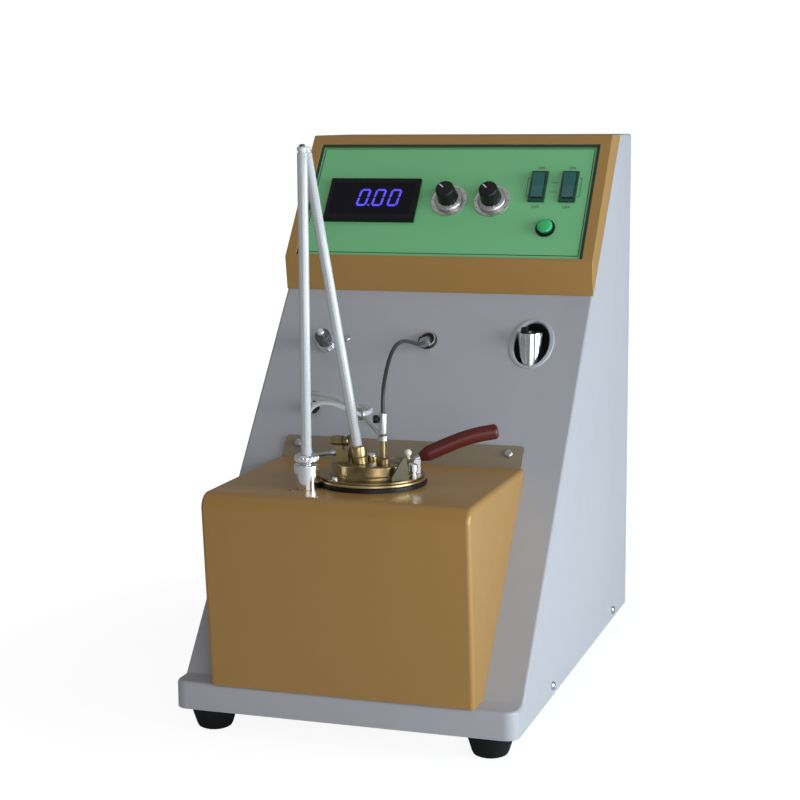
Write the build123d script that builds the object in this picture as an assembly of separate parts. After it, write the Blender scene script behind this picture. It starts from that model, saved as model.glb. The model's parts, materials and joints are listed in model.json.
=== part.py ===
from build123d import *

# Closed-cup flash point tester: a sloping bench housing with a control console,
# a heated bath box in front of it, and a brass test cup under a working lid.
# Units are millimetres. While it is drawn, X = 0 is the middle of the housing,
# Y = 0 the front of its lip and Z = 0 its underside; each saved piece is then
# moved so that the origin lies under the middle of the machine, on the bench.

import os
from math import atan2, cos, hypot, radians, sin, tan

os.makedirs("parts", exist_ok=True)

# ---------------------------------------------------------------- clearances
RUN = 0.05          # radial clearance of a shaft or stem in its bore
SEAT = 0.2          # gap under a piece that lifts off its seat
EASE = 0.3          # gap round a plate, pin or cap that drops into an opening
CUT = 10.0          # how far a cutting tool reaches past both sides of a sheet

# ------------------------------------------------------------------- housing
HOUSING_W = 260.0
HOUSING_H = 413.5
LIP_H = 20.5
LEDGE_D = 22.0      # flat ledge between the lip and the foot of the slope
SLOPE_RUN = 319.5   # depth covered by the sloping face
ROOF_D = 46.5
SHEET = 2.0
LIP_R = 10.0
BEND_R = 2.5
COVER_T = 2.0
FOOT_H = 17.5
FOOT_TOP_R = 17.0
FOOT_TIP_R = 13.5
FOOT_EDGE_R = 3.5
FOOT_SIDE_IN = 24.0     # foot axis from the side of the housing
FOOT_FRONT_IN = 20.0
FOOT_SCREW_HEAD_R = 3.6
FOOT_SCREW_UP = 10.0    # screw head's seat above the bottom of the foot
SCREW_R = 2.0
SIDE_SCREW_YS = (107.7, 330.0)
SIDE_SCREW_Z = 8.0
COVER_EDGE = 9.0        # rear screws from the edge of the cover
TAB_W, TAB_D = 16.0, 14.0
WINDOW_IN = 2.0         # how far the console's window keeps inside its foot
WINDOW_BELOW_ROOF = 18.0
WINDOW_EDGE = 20.0      # console's window from the side of the housing
BOX_WINDOW_FOOT = 30.0  # box's window above the ledge, up the slope
BOX_WINDOW_HEAD = 3.0   # box's window below the top of the box
BOX_WINDOW_SIDE = 6.0   # box's window beside the tank
VENT_Y, VENT_L, VENT_H, VENT_PITCH, VENTS = 120.0, 120.0, 5.0, 14.0, 6
LOUVRE_L, LOUVRE_H, LOUVRE_PITCH, LOUVRE_ROWS = 78.0, 4.0, 10.0, 8
LOUVRE_GAP = 110.0      # between the middles of the two columns of louvres
LOUVRE_ZS = (150.0, 345.0)
INLET_X, INLET_Z = 78.0, 52.0
INLET_W, INLET_H = 48.0, 36.0
INLET_BODY_W, INLET_BODY_H, INLET_BODY_D = 34.0, 24.0, 20.0
INLET_FLANGE_T = 3.0
INLET_WELL_W, INLET_WELL_H, INLET_WELL_D = 26.0, 18.0, 14.0
INLET_PINS = ((-7.0, -2.0), (0.0, 3.0), (7.0, -2.0))
INLET_PIN_W, INLET_PIN_H = 2.0, 4.5

# ------------------------------------------------------------------- console
CONSOLE_H = 126.0   # height of the console, from the slope to the roof
BAND_H = 27.5
BAND_LEAN = 4.5     # the band leans forward by this much
FACE_STEP = 33.0    # depth of the console at the roof
CONSOLE_SHEET = 2.0
FRAME_SIDE = 9.0
FRAME_TOP = 9.0
FRAME_FOOT = 3.0
PANEL_T = 2.0
PANEL_LAP = 3.0
METER_W, METER_H = 79.0, 42.0
METER_X, METER_UP = -64.5, 57.2
METER_PROUD = 4.0
METER_BODY_D = 16.0
METER_REBATE = 1.2      # depth of the recess that holds the meter's window
METER_EDGE = 0.8
WINDOW_W, WINDOW_H, WINDOW_T = 70.0, 30.0, 0.8
DIAL_R = 15.2
DIAL_T = 1.2
KNOB_R = 11.8
KNOB_SKIRT_H = 3.0
KNOB_BODY_R, KNOB_TOP_R = 8.6, 7.6
KNOB_H = 17.0
KNOB_EDGE = 0.8
KNOB_X, KNOB_PITCH, KNOB_UP = 1.8, 36.6, 58.2
NOSE_L, NOSE_W, NOSE_H = 2.4, 2.2, 2.6
POINTER_ANGLE = 140.0
FLUTES = 14
FLUTE_R = 1.0
SPINDLE_R = 3.0
SWITCH_W, SWITCH_L = 13.6, 29.6
SWITCH_X, SWITCH_PITCH, SWITCH_UP = 75.0, 25.6, 72.3
ROCKER_TILT = 9.0
BUTTON_R = 6.4
BUTTON_X, BUTTON_UP = 86.8, 32.2
BUTTON_TRAVEL = 3.0

# --------------------------------------------------------- fittings on slope
FITTING_UP = 294.0  # distance up the slope of the upper row of fittings
SOCKET_X, SOCKET_Z = 1.8, 251.5
SOCKET_RING_R = 7.7
LAMP_X, LAMP_SET = 86.2, 5.6    # the can stands this much before the slope
LAMP_R = 9.8
LAMP_TOP_Z = 260.5
LAMP_HOLE_W, LAMP_HOLE_L = 28.5, 41.0
LAMP_HOLE_X, LAMP_HOLE_UP = 87.2, 298.2
LAMP_H = 34.0
LAMP_WALL = 1.0
LAMP_FOOT_T, LAMP_FOOT_W = 2.0, 15.7
LAMP_CAP_T, LAMP_CAP_IN = 6.0, 0.5
TERMINAL_X, TERMINAL_Y = -4.2, -2.4
TERMINAL_W, TERMINAL_D, TERMINAL_H = 5.0, 5.5, 5.0
VALVE_X, VALVE_UP = -82.3, 290.5
BARB_X, BARB_UP = -80.6, 231.0
SOCKET_RING_T, SOCKET_EDGE = 2.2, 0.8
NIPPLE_R = 4.0
NIPPLE_OUT, MOTOR_GAP = 11.8, 21.2     # before the slope, and behind it
MOTOR_R, MOTOR_L = 16.0, 46.0
MOTOR_EDGE = 2.0
MOTOR_SHAFT_L = 20.0
MOTOR_PLATE_W = 34.0
VALVE_SHANK_R = 4.0
VALVE_SHANK_L = 18.0
VALVE_RING_R = 7.3
VALVE_RING_H = 6.6
VALVE_RIBS = 3
VALVE_RIB_PROUD = 1.2
VALVE_BORE_D = 3.0      # how far the stem's bore goes down behind the slope
VALVE_KNOB_R = 6.2
VALVE_KNOB_H = 9.0
VALVE_FLUTES, VALVE_FLUTE_R = 10, 1.0
VALVE_CAP_R, VALVE_CAP_H = 3.1, 5.5
VALVE_STEM_R = 2.2
VALVE_STEM_END = 1.5    # gap under the stem
BARB_L = 12.5
BARB_NUT_R = 5.4
BARB_NUT_T = 4.0
BARB_CORE_R, BARB_RIDGE_R, BARB_PITCH = 1.6, 2.3, 2.6
NOZZLE_OUT = 16.0
NOZZLE_R = 4.5
NOZZLE_COLLAR_R, NOZZLE_COLLAR_T = 7.5, 3.0
NOZZLE_BORE_R = 1.6
NOZZLE_SHANK_R = 4.0
NOZZLE_SHANK_L = 6.0    # how far the nozzle's shank reaches in behind the cover
PIPE_R = 2.5
PIPE_BEND_R = 8.0
PIPE_DROP = 14.0        # straight run behind the valve
PIPE_RISE = 22.0

# ------------------------------------------------------------------ bath box
BOX_W = 200.0
BOX_TOP = 165.3
BOX_SHEET = 1.5
BOX_FRONT_TOP_Y = -13.6
BOX_FRONT_FOOT_Y = -1.0
BOX_FOLD_R = 11.0
BOX_SIDE_R = 3.5
UPSTAND_H = 18.7
UPSTAND_W = 194.0
UPSTAND_CORNER_R = 3.0
UPSTAND_SCREW_X = 85.5
STAY_DOT_X, STAY_DOT_UP = -67.4, 3.5

# ----------------------------------------------------- bath, cup and its lid
CUP_X, CUP_Y = 5.5, 58.3
TANK_R = 57.5
TANK_H = 84.0
TANK_WALL = 1.5
CHAMBER_R = 33.0
CHAMBER_WALL = 2.0
CHAMBER_H = 66.0
COLLAR_R = 40.5
COLLAR_H = 3.0
CUP_BORE_R = 25.4
CUP_WALL = 2.0
CUP_DEPTH = 56.0
CUP_FLANGE_R = 40.0
FLANGE_T = 2.0
LID_FLANGE_R = 38.5
LID_FLANGE_T = 1.5
DRUM_R = 29.0
DRUM_H = 11.3
DRUM_STEP_R = 30.4
DRUM_STEP_H = 3.6
DRUM_WALL = 3.0
THERMO_R = 3.75
THERMO_SHOWN = 219.0
BATH_THERMO_X, BATH_THERMO_Y = -33.0, 26.4
BUSH_R = 9.3
BUSH_H = 17.7
BUSH_SHANK_R, BUSH_SHANK_L = 4.9, 8.0
BUSH_EDGE = 0.6
GLAND_NECK_R = 4.9
KNURLS, KNURL_R = 18, 0.7
GLAND_H = 7.0
CUP_THERMO_X, CUP_THERMO_Y = 0.9, 46.4
CUP_THERMO_LEAN = 9.8
FERRULE_R = 6.3
FERRULE_L = 12.5
STIR_X, STIR_Y = 18.0, 47.4
STIR_TUBE_R = 2.0
STIR_SHAFT_R = 1.2
DRIVE_FERRULE_R = 3.1
DRIVE_FERRULE_H = 15.6
DRIVE_FERRULE_Z = 203.6
BURNER_X, BURNER_Y = -14.3, 46.0
BURNER_AXIS_Z = 197.5
JET_X = -9.3
JET_L = 27.0
JET_REST = 15.0     # angle of the jet above level while the shutter is shut
PORT_ANGLE, PORT_RADIUS = 139.8, 19.4
PORT_R = 3.6
SHUTTER_T = 1.2
ARM_ANGLE = 6.0
BALL_REACH = 27.0
HANDLE_ANGLE = 20.0
HANDLE_R = 5.6

# ------------------------------------------------------------------- cords
SHAFT_D = 3.0
HOSE_D = 4.0
SHAFT_STRAIGHT = 14.0   # level run of the shaft in front of the nipple

# ------------------------------------------------------------ worked-out sizes
SLOPE_A = atan2(SLOPE_RUN, HOUSING_H - LIP_H)       # lean of the slope from upright
ROOF_Y = LEDGE_D + SLOPE_RUN
HOUSING_D = ROOF_Y + ROOF_D
SHELL_D = HOUSING_D - COVER_T
HALF_W = HOUSING_W / 2
BAND_Z = HOUSING_H - CONSOLE_H
BAND_TOP_Z = BAND_Z + BAND_H
SLOPE_OUT = Vector(0, -cos(SLOPE_A), sin(SLOPE_A))


def slope_y(z):
    """Depth of the sloping face at height z."""
    return LEDGE_D + (z - LIP_H) * tan(SLOPE_A)


def slope_up(z):
    """Distance up the slope, from its foot, at height z."""
    return (z - LIP_H) / cos(SLOPE_A)


def slope_plane(x, up, out=0.0):
    """Plane on the slope: X across, Y up the slope, Z out of it."""
    foot = Vector(x, LEDGE_D + up * sin(SLOPE_A), LIP_H + up * cos(SLOPE_A))
    return Plane(foot + SLOPE_OUT * out, x_dir=(1, 0, 0), z_dir=SLOPE_OUT)


NIPPLE_Y = slope_y(SOCKET_Z) - NIPPLE_OUT
MOTOR_Y = slope_y(SOCKET_Z) + MOTOR_GAP
LAMP_Y = slope_y(LAMP_TOP_Z) - LAMP_SET
DRIVE_ROUTE = [
    (SOCKET_X, NIPPLE_Y, SOCKET_Z), (SOCKET_X, NIPPLE_Y - SHAFT_STRAIGHT, SOCKET_Z),
    (SOCKET_X, 168.0, 255.4), (2.5, 149.0, 258.6), (4.6, 128.0, 260.2), (7.9, 106.0, 259.4),
    (11.5, 84.0, 254.9), (14.9, 65.0, 246.9), (17.3, 52.2, 238.6),
    (STIR_X, STIR_Y, 228.5), (STIR_X, STIR_Y, DRIVE_FERRULE_Z + DRIVE_FERRULE_H),
]
FACE_FOOT = Vector(0, slope_y(BAND_Z) - BAND_LEAN, BAND_TOP_Z)
FACE_HEAD = Vector(0, ROOF_Y - FACE_STEP, HOUSING_H)
FACE_LEN = (FACE_HEAD - FACE_FOOT).length
FACE_A = atan2(FACE_HEAD.Y - FACE_FOOT.Y, FACE_HEAD.Z - FACE_FOOT.Z)
FACE_OUT = Vector(0, -cos(FACE_A), sin(FACE_A))


def face_plane(x, up, out=0.0):
    """Plane on the console's face: X across, Y up the face, Z out of it."""
    foot = FACE_FOOT + Vector(x, sin(FACE_A) * up, cos(FACE_A) * up)
    return Plane(foot + FACE_OUT * out, x_dir=(1, 0, 0), z_dir=FACE_OUT)


VALVE_Z = slope_plane(VALVE_X, VALVE_UP, -VALVE_SHANK_L).origin.Z
PANEL_OUT = -CONSOLE_SHEET      # front of the control panel, behind the frame
BOX_BACK_Y = slope_y(BOX_TOP)
BOX_FRONT_Y = min(BOX_FRONT_TOP_Y, BOX_FRONT_FOOT_Y)
CHAMBER_TOP = BOX_TOP + COLLAR_H
CUP_SEAT = CHAMBER_TOP + SEAT
CUP_RIM = CUP_SEAT + FLANGE_T
LID_Z = CUP_RIM + SEAT
LID_TOP = LID_Z + DRUM_H
BUSH_TOP = BOX_TOP + BUSH_H
GLAND_TOP = BUSH_TOP + GLAND_H


# ------------------------------------------------------------------- helpers
FROM_BASE = (Align.CENTER, Align.CENTER, Align.MIN)


def prism(outline, width, x=0.0):
    """Solid of a (depth, height) outline, `width` wide about X = x."""
    face = make_face(Plane.YZ.offset(x) * Polyline(*outline, close=True))
    return extrude(face, amount=width / 2, both=True)


def rod(plane, radius, length, start=0.0):
    """Round bar standing on a plane."""
    return plane.offset(start) * Cylinder(radius, length, align=FROM_BASE)


def tube(plane, radius, bore, length, start=0.0):
    """Round bar with a bore right through it."""
    return rod(plane, radius, length, start) - rod(plane, bore, length + 2, start - 1)


def turned(profile, plane=Plane.XY):
    """Round piece: a (radius, height) outline turned about the plane's axis."""
    return plane * revolve(make_face(Plane.XZ * Polyline(*profile, close=True)), Axis.Z)


def block(plane, width, length, depth, start=0.0):
    """Rectangular block standing on a plane."""
    return plane.offset(start) * Box(width, length, depth, align=FROM_BASE)


def upright(x, y, z):
    """Level plane at a point."""
    return Plane(origin=(x, y, z))


def inset(outline, walls):
    """Outline with each side moved inwards by its wall; a negative wall moves it out."""
    sides = list(zip(outline, outline[1:] + outline[:1]))
    area = sum(y0 * z1 - y1 * z0 for (y0, z0), (y1, z1) in sides)
    turn = 1 if area > 0 else -1
    moved = []
    for ((y0, z0), (y1, z1)), wall in zip(sides, walls):
        length = hypot(y1 - y0, z1 - z0)
        along = ((y1 - y0) / length, (z1 - z0) / length)
        start = (y0 - turn * along[1] * wall, z0 + turn * along[0] * wall)
        moved.append((start, along))
    corners = []
    for (p, d), (q, e) in zip(moved[-1:] + moved[:-1], moved):
        cross = d[0] * e[1] - d[1] * e[0]
        step = ((q[0] - p[0]) * e[1] - (q[1] - p[1]) * e[0]) / cross
        corners.append((p[0] + d[0] * step, p[1] + d[1] * step))
    return corners


def screw(plane, radius=3.4, height=1.8, shank=5.0):
    """Pan-headed screw: its head on the plane and its shank behind it."""
    crown = height * 0.45
    return turned([(0, -shank), (SCREW_R, -shank), (SCREW_R, 0), (radius, 0),
                   (radius, height - crown), (radius - crown, height), (0, height)], plane)


def hole(plane, radius, reach=CUT):
    """Tool for a round hole that reaches as far before the plane as behind it."""
    return rod(plane, radius, 2 * reach, -reach)


def slot(plane, width, length, reach=CUT):
    """Tool for a square-cornered opening, reaching before and behind the plane."""
    return block(plane, width, length, 2 * reach, -reach)


def bar_between(start, end, radius):
    """Straight round bar from one point to another."""
    start, end = Vector(*start), Vector(*end)
    line = end - start
    return Plane(start, z_dir=line) * Cylinder(radius, line.length, align=FROM_BASE)


def cord(route, diameter, name):
    """Tube of straight runs and tangent arcs; prints its bends and its length."""
    points = [Vector(*p) for p in route]
    runs = [b - a for a, b in zip(points, points[1:])]
    radii = []
    for before, after in zip(runs, runs[1:]):
        half_turn = radians(before.get_angle(after)) / 2
        radii.append(0.45 * min(before.length, after.length) / tan(half_turn))
    path = FilletPolyline(*points, radius=radii)
    section = Plane(path @ 0, z_dir=path % 0) * Circle(diameter / 2)
    solid = sweep(section, path=path)
    print(f"{name}: length {path.length:.1f}, bends", [round(r, 1) for r in radii])
    print(f"  volume {solid.volume:.0f}, section x length {section.area * path.length:.0f}")
    return solid


# ------------------------------------------------------- where things are fixed
SIDE_IN = HALF_W - FOOT_SIDE_IN
FOOT_SPOTS = [(x, y) for x in (-SIDE_IN, SIDE_IN) for y in (FOOT_FRONT_IN, HOUSING_D - FOOT_FRONT_IN)]
SIDE_SCREWS = [Plane((side * HALF_W, y, SIDE_SCREW_Z), z_dir=(side, 0, 0))
               for side in (-1, 1) for y in SIDE_SCREW_YS]
COVER_SPOTS = [(x, z) for x in (COVER_EDGE - HALF_W, HALF_W - COVER_EDGE)
               for z in (COVER_EDGE + SHEET, HOUSING_H / 2, HOUSING_H - COVER_EDGE)]
COVER_SCREWS = [Plane((x, HOUSING_D, z), z_dir=(0, 1, 0)) for x, z in COVER_SPOTS]
BOX_FOOT_UP = slope_up(BOX_TOP)
UPSTAND_SCREWS = [slope_plane(x, BOX_FOOT_UP + UPSTAND_H * 0.62, BOX_SHEET)
                  for x in (-UPSTAND_SCREW_X, UPSTAND_SCREW_X)]
STAY_DOT = slope_plane(STAY_DOT_X, FITTING_UP + STAY_DOT_UP)


# ------------------------------------------------------------------- housing
HOUSING_OUTLINE = [(0, 0), (0, LIP_H), (LEDGE_D, LIP_H), (ROOF_Y, HOUSING_H),
                   (SHELL_D, HOUSING_H), (SHELL_D, 0)]
OPEN = -6.0         # wall value of a side that is left open


def lip_corners(solid, radius):
    """Round the upright corners at the front of the lip."""
    front = solid.edges().filter_by(Axis.Z).group_by(Axis.Y)[0]
    return fillet(front, radius)


def cover_tab(x, z):
    """Tab folded in from the side of the shell, behind a screw of the rear cover."""
    side = 1 if x > 0 else -1
    width = HALF_W - abs(x) + TAB_W / 2
    return Pos(side * (HALF_W - (width + SHEET) / 2), SHELL_D - SHEET / 2, z) * Box(width - SHEET, SHEET, TAB_D)


def housing_shell():
    """Sheet-metal housing: lip, ledge, slope, roof and both sides in one bent shell."""
    outer = lip_corners(prism(HOUSING_OUTLINE, HOUSING_W), LIP_R)
    bends = [e for e in outer.edges()
             if abs(abs((e @ 0.5).X) - HALF_W) < 0.01 and (e @ 0.5).Z > LIP_H - 0.01
             and (e @ 0.5).Y < SHELL_D - 1 and abs((e % 0.5).X) < 0.01]
    outer = fillet(bends, BEND_R)
    hollow = lip_corners(prism(inset(HOUSING_OUTLINE, [SHEET] * 4 + [OPEN] * 2),
                               HOUSING_W - 2 * SHEET), LIP_R - SHEET)
    shell = outer - hollow
    for x, z in COVER_SPOTS:
        shell += cover_tab(x, z)
    shell -= box_window() + console_window() + fitting_holes()
    for spot in SIDE_SCREWS + COVER_SCREWS + UPSTAND_SCREWS + [STAY_DOT]:
        shell -= hole(spot, SCREW_R + RUN)
    return shell


def box_window():
    """Opening in the slope behind the bath box, for the tank and the wires."""
    low, high = BOX_WINDOW_FOOT, BOX_FOOT_UP - BOX_WINDOW_HEAD
    width = 2 * (TANK_R + BOX_WINDOW_SIDE)
    return slot(slope_plane(CUP_X, (low + high) / 2), width, high - low, 2 * SHEET)


def console_window():
    """Opening in the slope behind the console, for the meter and the controls."""
    low, high = slope_up(BAND_TOP_Z) + WINDOW_IN, slope_up(HOUSING_H) - WINDOW_BELOW_ROOF
    return slot(slope_plane(0, (low + high) / 2), HOUSING_W - 2 * WINDOW_EDGE, high - low, 2 * SHEET)


def fitting_holes():
    """Holes in the slope for the drive socket, lamp, gas valve and hose barb."""
    drive = Plane((SOCKET_X, slope_y(SOCKET_Z), SOCKET_Z), z_dir=(0, 1, 0))
    lamp = slope_plane(LAMP_HOLE_X, LAMP_HOLE_UP, -2 * SHEET)
    holes = hole(drive, NIPPLE_R + RUN)
    holes += extrude(lamp * Ellipse(LAMP_HOLE_W / 2, LAMP_HOLE_L / 2), 4 * SHEET)
    holes += hole(slope_plane(VALVE_X, VALVE_UP), VALVE_SHANK_R + RUN)
    holes += hole(slope_plane(BARB_X, BARB_UP), VALVE_SHANK_R + RUN)
    return holes


def base_plate():
    """Floor of the housing, with slots that let cooling air in."""
    low, high = SHEET + EASE, SHELL_D - SHEET - EASE
    plate = Pos(0, (low + high) / 2, 0) * Box(HOUSING_W - 2 * SHEET - 2 * EASE, high - low, SHEET,
                                              align=FROM_BASE)
    plate = lip_corners(plate, LIP_R)
    vents = Sketch() + GridLocations(0, VENT_PITCH, 1, VENTS) * SlotOverall(VENT_L, VENT_H)
    plate -= Pos(0, VENT_Y, 0) * extrude(vents, CUT, both=True)
    wall = HALF_W - SHEET
    for side in (-1, 1):
        for y in SIDE_SCREW_YS:
            plate += Pos(side * (wall - EASE - SHEET / 2), y, SHEET) * Box(SHEET, TAB_W, TAB_D,
                                                                           align=FROM_BASE)
    for spot in SIDE_SCREWS:
        plate -= hole(spot, SCREW_R + RUN)
    for x, y in FOOT_SPOTS:
        plate -= hole(upright(x, y, 0), SCREW_R + RUN)
    return plate


def rear_cover():
    """Flat back of the housing: louvre slots, the mains inlet's cut-out and the gas hole."""
    cover = Pos(0, SHELL_D, 0) * Box(HOUSING_W, COVER_T, HOUSING_H,
                                     align=(Align.CENTER, Align.MIN, Align.MIN))
    top = cover.edges().filter_by(Axis.Y).group_by(Axis.Z)[-1]
    cover = fillet(top, BEND_R)
    back = Plane((0, HOUSING_D, 0), x_dir=(-1, 0, 0), z_dir=(0, 1, 0))
    grid = GridLocations(LOUVRE_GAP, LOUVRE_PITCH, 2, LOUVRE_ROWS)
    louvres = Sketch() + grid * SlotOverall(LOUVRE_L, LOUVRE_H)
    for z in LOUVRE_ZS:
        cover -= extrude(back * Pos(0, z) * louvres, CUT, both=True)
    cover -= Pos(INLET_X, SHELL_D, INLET_Z) * Box(INLET_BODY_W, CUT, INLET_BODY_H)
    cover -= hole(Plane((VALVE_X, SHELL_D, VALVE_Z), z_dir=(0, 1, 0)), NOZZLE_SHANK_R + RUN)
    for spot in COVER_SCREWS:
        cover -= hole(spot, SCREW_R + RUN)
    return cover


def foot(x, y):
    """Rubber foot with a counterbore for its screw."""
    edge = FOOT_EDGE_R
    body = turned([(0, 0), (FOOT_TOP_R, 0), (FOOT_TOP_R, -3), (FOOT_TIP_R, edge - FOOT_H),
                   (FOOT_TIP_R - edge * 0.35, edge * 0.3 - FOOT_H), (FOOT_TIP_R - edge, -FOOT_H),
                   (0, -FOOT_H)], upright(x, y, 0))
    body -= rod(upright(x, y, -FOOT_H), SCREW_R + RUN, FOOT_H)
    return body - rod(upright(x, y, -FOOT_H), FOOT_SCREW_HEAD_R + EASE, FOOT_SCREW_UP)


# ------------------------------------------------------------------- console
CONSOLE_OUTLINE = [(slope_y(BAND_Z), BAND_Z), (FACE_FOOT.Y, BAND_TOP_Z),
                   (FACE_HEAD.Y, HOUSING_H), (ROOF_Y, HOUSING_H)]
FACE_HALF = HALF_W - FRAME_SIDE
OPEN_LOW, OPEN_HIGH = FRAME_FOOT, FACE_LEN - FRAME_TOP


def console_shell():
    """Folded wedge on the slope whose face frames the control panel."""
    outer = prism(CONSOLE_OUTLINE, HOUSING_W)
    folds = [e for e in outer.edges() if abs((e @ 0.5).X) < 1 and (e @ 0.5).Y < ROOF_Y - 1
             and (e @ 0.5).Z > BAND_Z + 1]
    outer = fillet(folds, BEND_R)
    hollow = prism(inset(CONSOLE_OUTLINE, [CONSOLE_SHEET] * 3 + [OPEN]), HOUSING_W - 2 * CONSOLE_SHEET)
    shell = outer - hollow
    middle = face_plane(0, (OPEN_LOW + OPEN_HIGH) / 2)
    shell -= block(middle, 2 * FACE_HALF, OPEN_HIGH - OPEN_LOW, 4 * CONSOLE_SHEET, -3 * CONSOLE_SHEET)
    return shell


SWITCH_BODY_W, SWITCH_BODY_L = SWITCH_W - 2.0, SWITCH_L - 3.0
SWITCH_BODY_D = 14.0
SWITCH_WALL = 0.4       # wall left outside the ends of a rocker's pin
ROCKER_W = SWITCH_W - 4.4
ROCKER_HALF_L, ROCKER_RISE, ROCKER_DROP = 10.8, 4.2, 2.5
ROCKER_PIVOT = 1.0      # rocker's pin above the front of the panel
ROCKER_PIN_R = 1.0
ROCKER_HOLLOW = 1.3     # how far the middle of a rocker dips
POCKET_D = 5.4          # switch's pocket below the rocker's pin
POCKET_HALF_L = hypot(ROCKER_HALF_L, ROCKER_RISE) + EASE
SWITCH_FLANGE_T = 2.0
BUTTON_BARREL_R = 7.0
BUTTON_FLANGE_R = 8.0
BUTTON_FLANGE_T = 2.0
BUTTON_BARREL_D = 16.0
POT_R, POT_D = 11.0, 8.0
POT_BUSH_R = 4.0
POT_NUT_R = 6.0
POT_NUT_T = 2.4
POT_THREAD_UP = 1.0     # bush above its nut
POT_FLOOR = 1.5
SWITCH_XS = (SWITCH_X, SWITCH_X + SWITCH_PITCH)
KNOB_XS = (KNOB_X, KNOB_X + KNOB_PITCH)
METER_BODY_W, METER_BODY_H = METER_W - 5.0, METER_H - 5.0


def panel_front(x, up, out=0.0):
    """Plane on the front of the control panel."""
    return face_plane(x, up, PANEL_OUT + out)


def control_panel():
    """Flat panel behind the frame, cut out for the meter, dials, switches and button."""
    low, high = OPEN_LOW - 1.0, OPEN_HIGH + PANEL_LAP
    width = 2 * (FACE_HALF + PANEL_LAP)
    plate = block(panel_front(0, (low + high) / 2), width, high - low, PANEL_T, -PANEL_T)
    plate -= slot(panel_front(METER_X, METER_UP), METER_BODY_W + EASE, METER_BODY_H + EASE)
    for x in KNOB_XS:
        plate -= hole(panel_front(x, KNOB_UP), POT_BUSH_R + RUN)
    for x in SWITCH_XS:
        plate -= slot(panel_front(x, SWITCH_UP), SWITCH_BODY_W + EASE, SWITCH_BODY_L + EASE)
    return plate - hole(panel_front(BUTTON_X, BUTTON_UP), BUTTON_BARREL_R + RUN)


def meter_case():
    """Panel meter: a bezel on the panel and a body behind it, open for its window."""
    front = panel_front(METER_X, METER_UP)
    bezel = block(front, METER_W, METER_H, METER_PROUD)
    rim = bezel.faces().sort_by(Axis(front.origin, front.z_dir))[-1].edges()
    bezel = chamfer(rim, METER_EDGE)
    case = bezel + block(front, METER_BODY_W, METER_BODY_H, METER_BODY_D, -METER_BODY_D)
    return case - block(front, WINDOW_W + EASE, WINDOW_H + EASE, METER_REBATE, METER_PROUD - METER_REBATE)


def meter_window():
    """Dark window over the meter's digits."""
    return block(panel_front(METER_X, METER_UP), WINDOW_W, WINDOW_H, WINDOW_T, METER_PROUD - METER_REBATE)


def dial_plate(x):
    """Round aluminium scale under a knob."""
    return tube(panel_front(x, KNOB_UP), DIAL_R, POT_BUSH_R + EASE, DIAL_T)


def potentiometer(x):
    """Control behind the panel, its threaded bush through the panel and the dial plate."""
    front = panel_front(x, KNOB_UP)
    body = rod(front, POT_R, POT_D, -PANEL_T - POT_D)
    body += rod(front, POT_BUSH_R, PANEL_T + DIAL_T + POT_NUT_T + POT_THREAD_UP, -PANEL_T)
    return body - rod(front, SPINDLE_R + RUN, PANEL_T + POT_D + CUT, -PANEL_T - POT_D + POT_FLOOR)


def pot_nut(x):
    """Hexagon nut that holds the control and its dial plate to the panel."""
    front = panel_front(x, KNOB_UP, DIAL_T)
    nut = extrude(front * RegularPolygon(POT_NUT_R, 6), POT_NUT_T)
    return nut - hole(front, POT_BUSH_R + RUN)


def knob(x):
    """Fluted pointer knob on its skirt, with its spindle."""
    front = panel_front(x, KNOB_UP, DIAL_T + EASE)
    foot = KNOB_SKIRT_H + KNOB_EDGE
    body = turned([(0, 0), (KNOB_R, 0), (KNOB_R, KNOB_SKIRT_H - KNOB_EDGE), (KNOB_R - KNOB_EDGE, KNOB_SKIRT_H),
                   (KNOB_BODY_R, foot), (KNOB_TOP_R, KNOB_H - KNOB_EDGE), (KNOB_TOP_R - KNOB_EDGE, KNOB_H),
                   (0, KNOB_H)], front)
    flutes = Sketch() + PolarLocations(KNOB_BODY_R + FLUTE_R / 2, FLUTES) * Circle(FLUTE_R)
    body -= extrude(front.offset(foot) * flutes, KNOB_H)
    nose = Pos(KNOB_R + NOSE_L / 2 - KNOB_EDGE, 0, 0) * Box(NOSE_L, NOSE_W, NOSE_H, align=FROM_BASE)
    body += front * Rot(0, 0, POINTER_ANGLE) * nose
    body -= rod(front, POT_NUT_R + 3 * EASE, POT_NUT_T + POT_THREAD_UP + 2 * EASE, -EASE)
    low = POT_FLOOR + EASE - PANEL_T - POT_D - DIAL_T
    return body + rod(front, SPINDLE_R, KNOB_H / 2 - low, low)


def rocker_pin(x):
    """Axis of a rocker: X runs across the panel, Y up it and Z out of it."""
    return panel_front(x, SWITCH_UP, ROCKER_PIVOT)


def switch_body(x):
    """Body and bezel of a rocker switch, with the pocket its rocker turns in."""
    front = panel_front(x, SWITCH_UP)
    bezel = block(front, SWITCH_W, SWITCH_L, SWITCH_FLANGE_T)
    body = bezel + block(front, SWITCH_BODY_W, SWITCH_BODY_L, SWITCH_BODY_D, -SWITCH_BODY_D)
    body -= block(front, ROCKER_W + EASE, 2 * POCKET_HALF_L, CUT, ROCKER_PIVOT - POCKET_D)
    pin = rocker_pin(x)
    across = Plane(pin.origin, z_dir=pin.x_dir)
    return body - hole(across, ROCKER_PIN_R + RUN, SWITCH_BODY_W / 2 - SWITCH_WALL)


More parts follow.
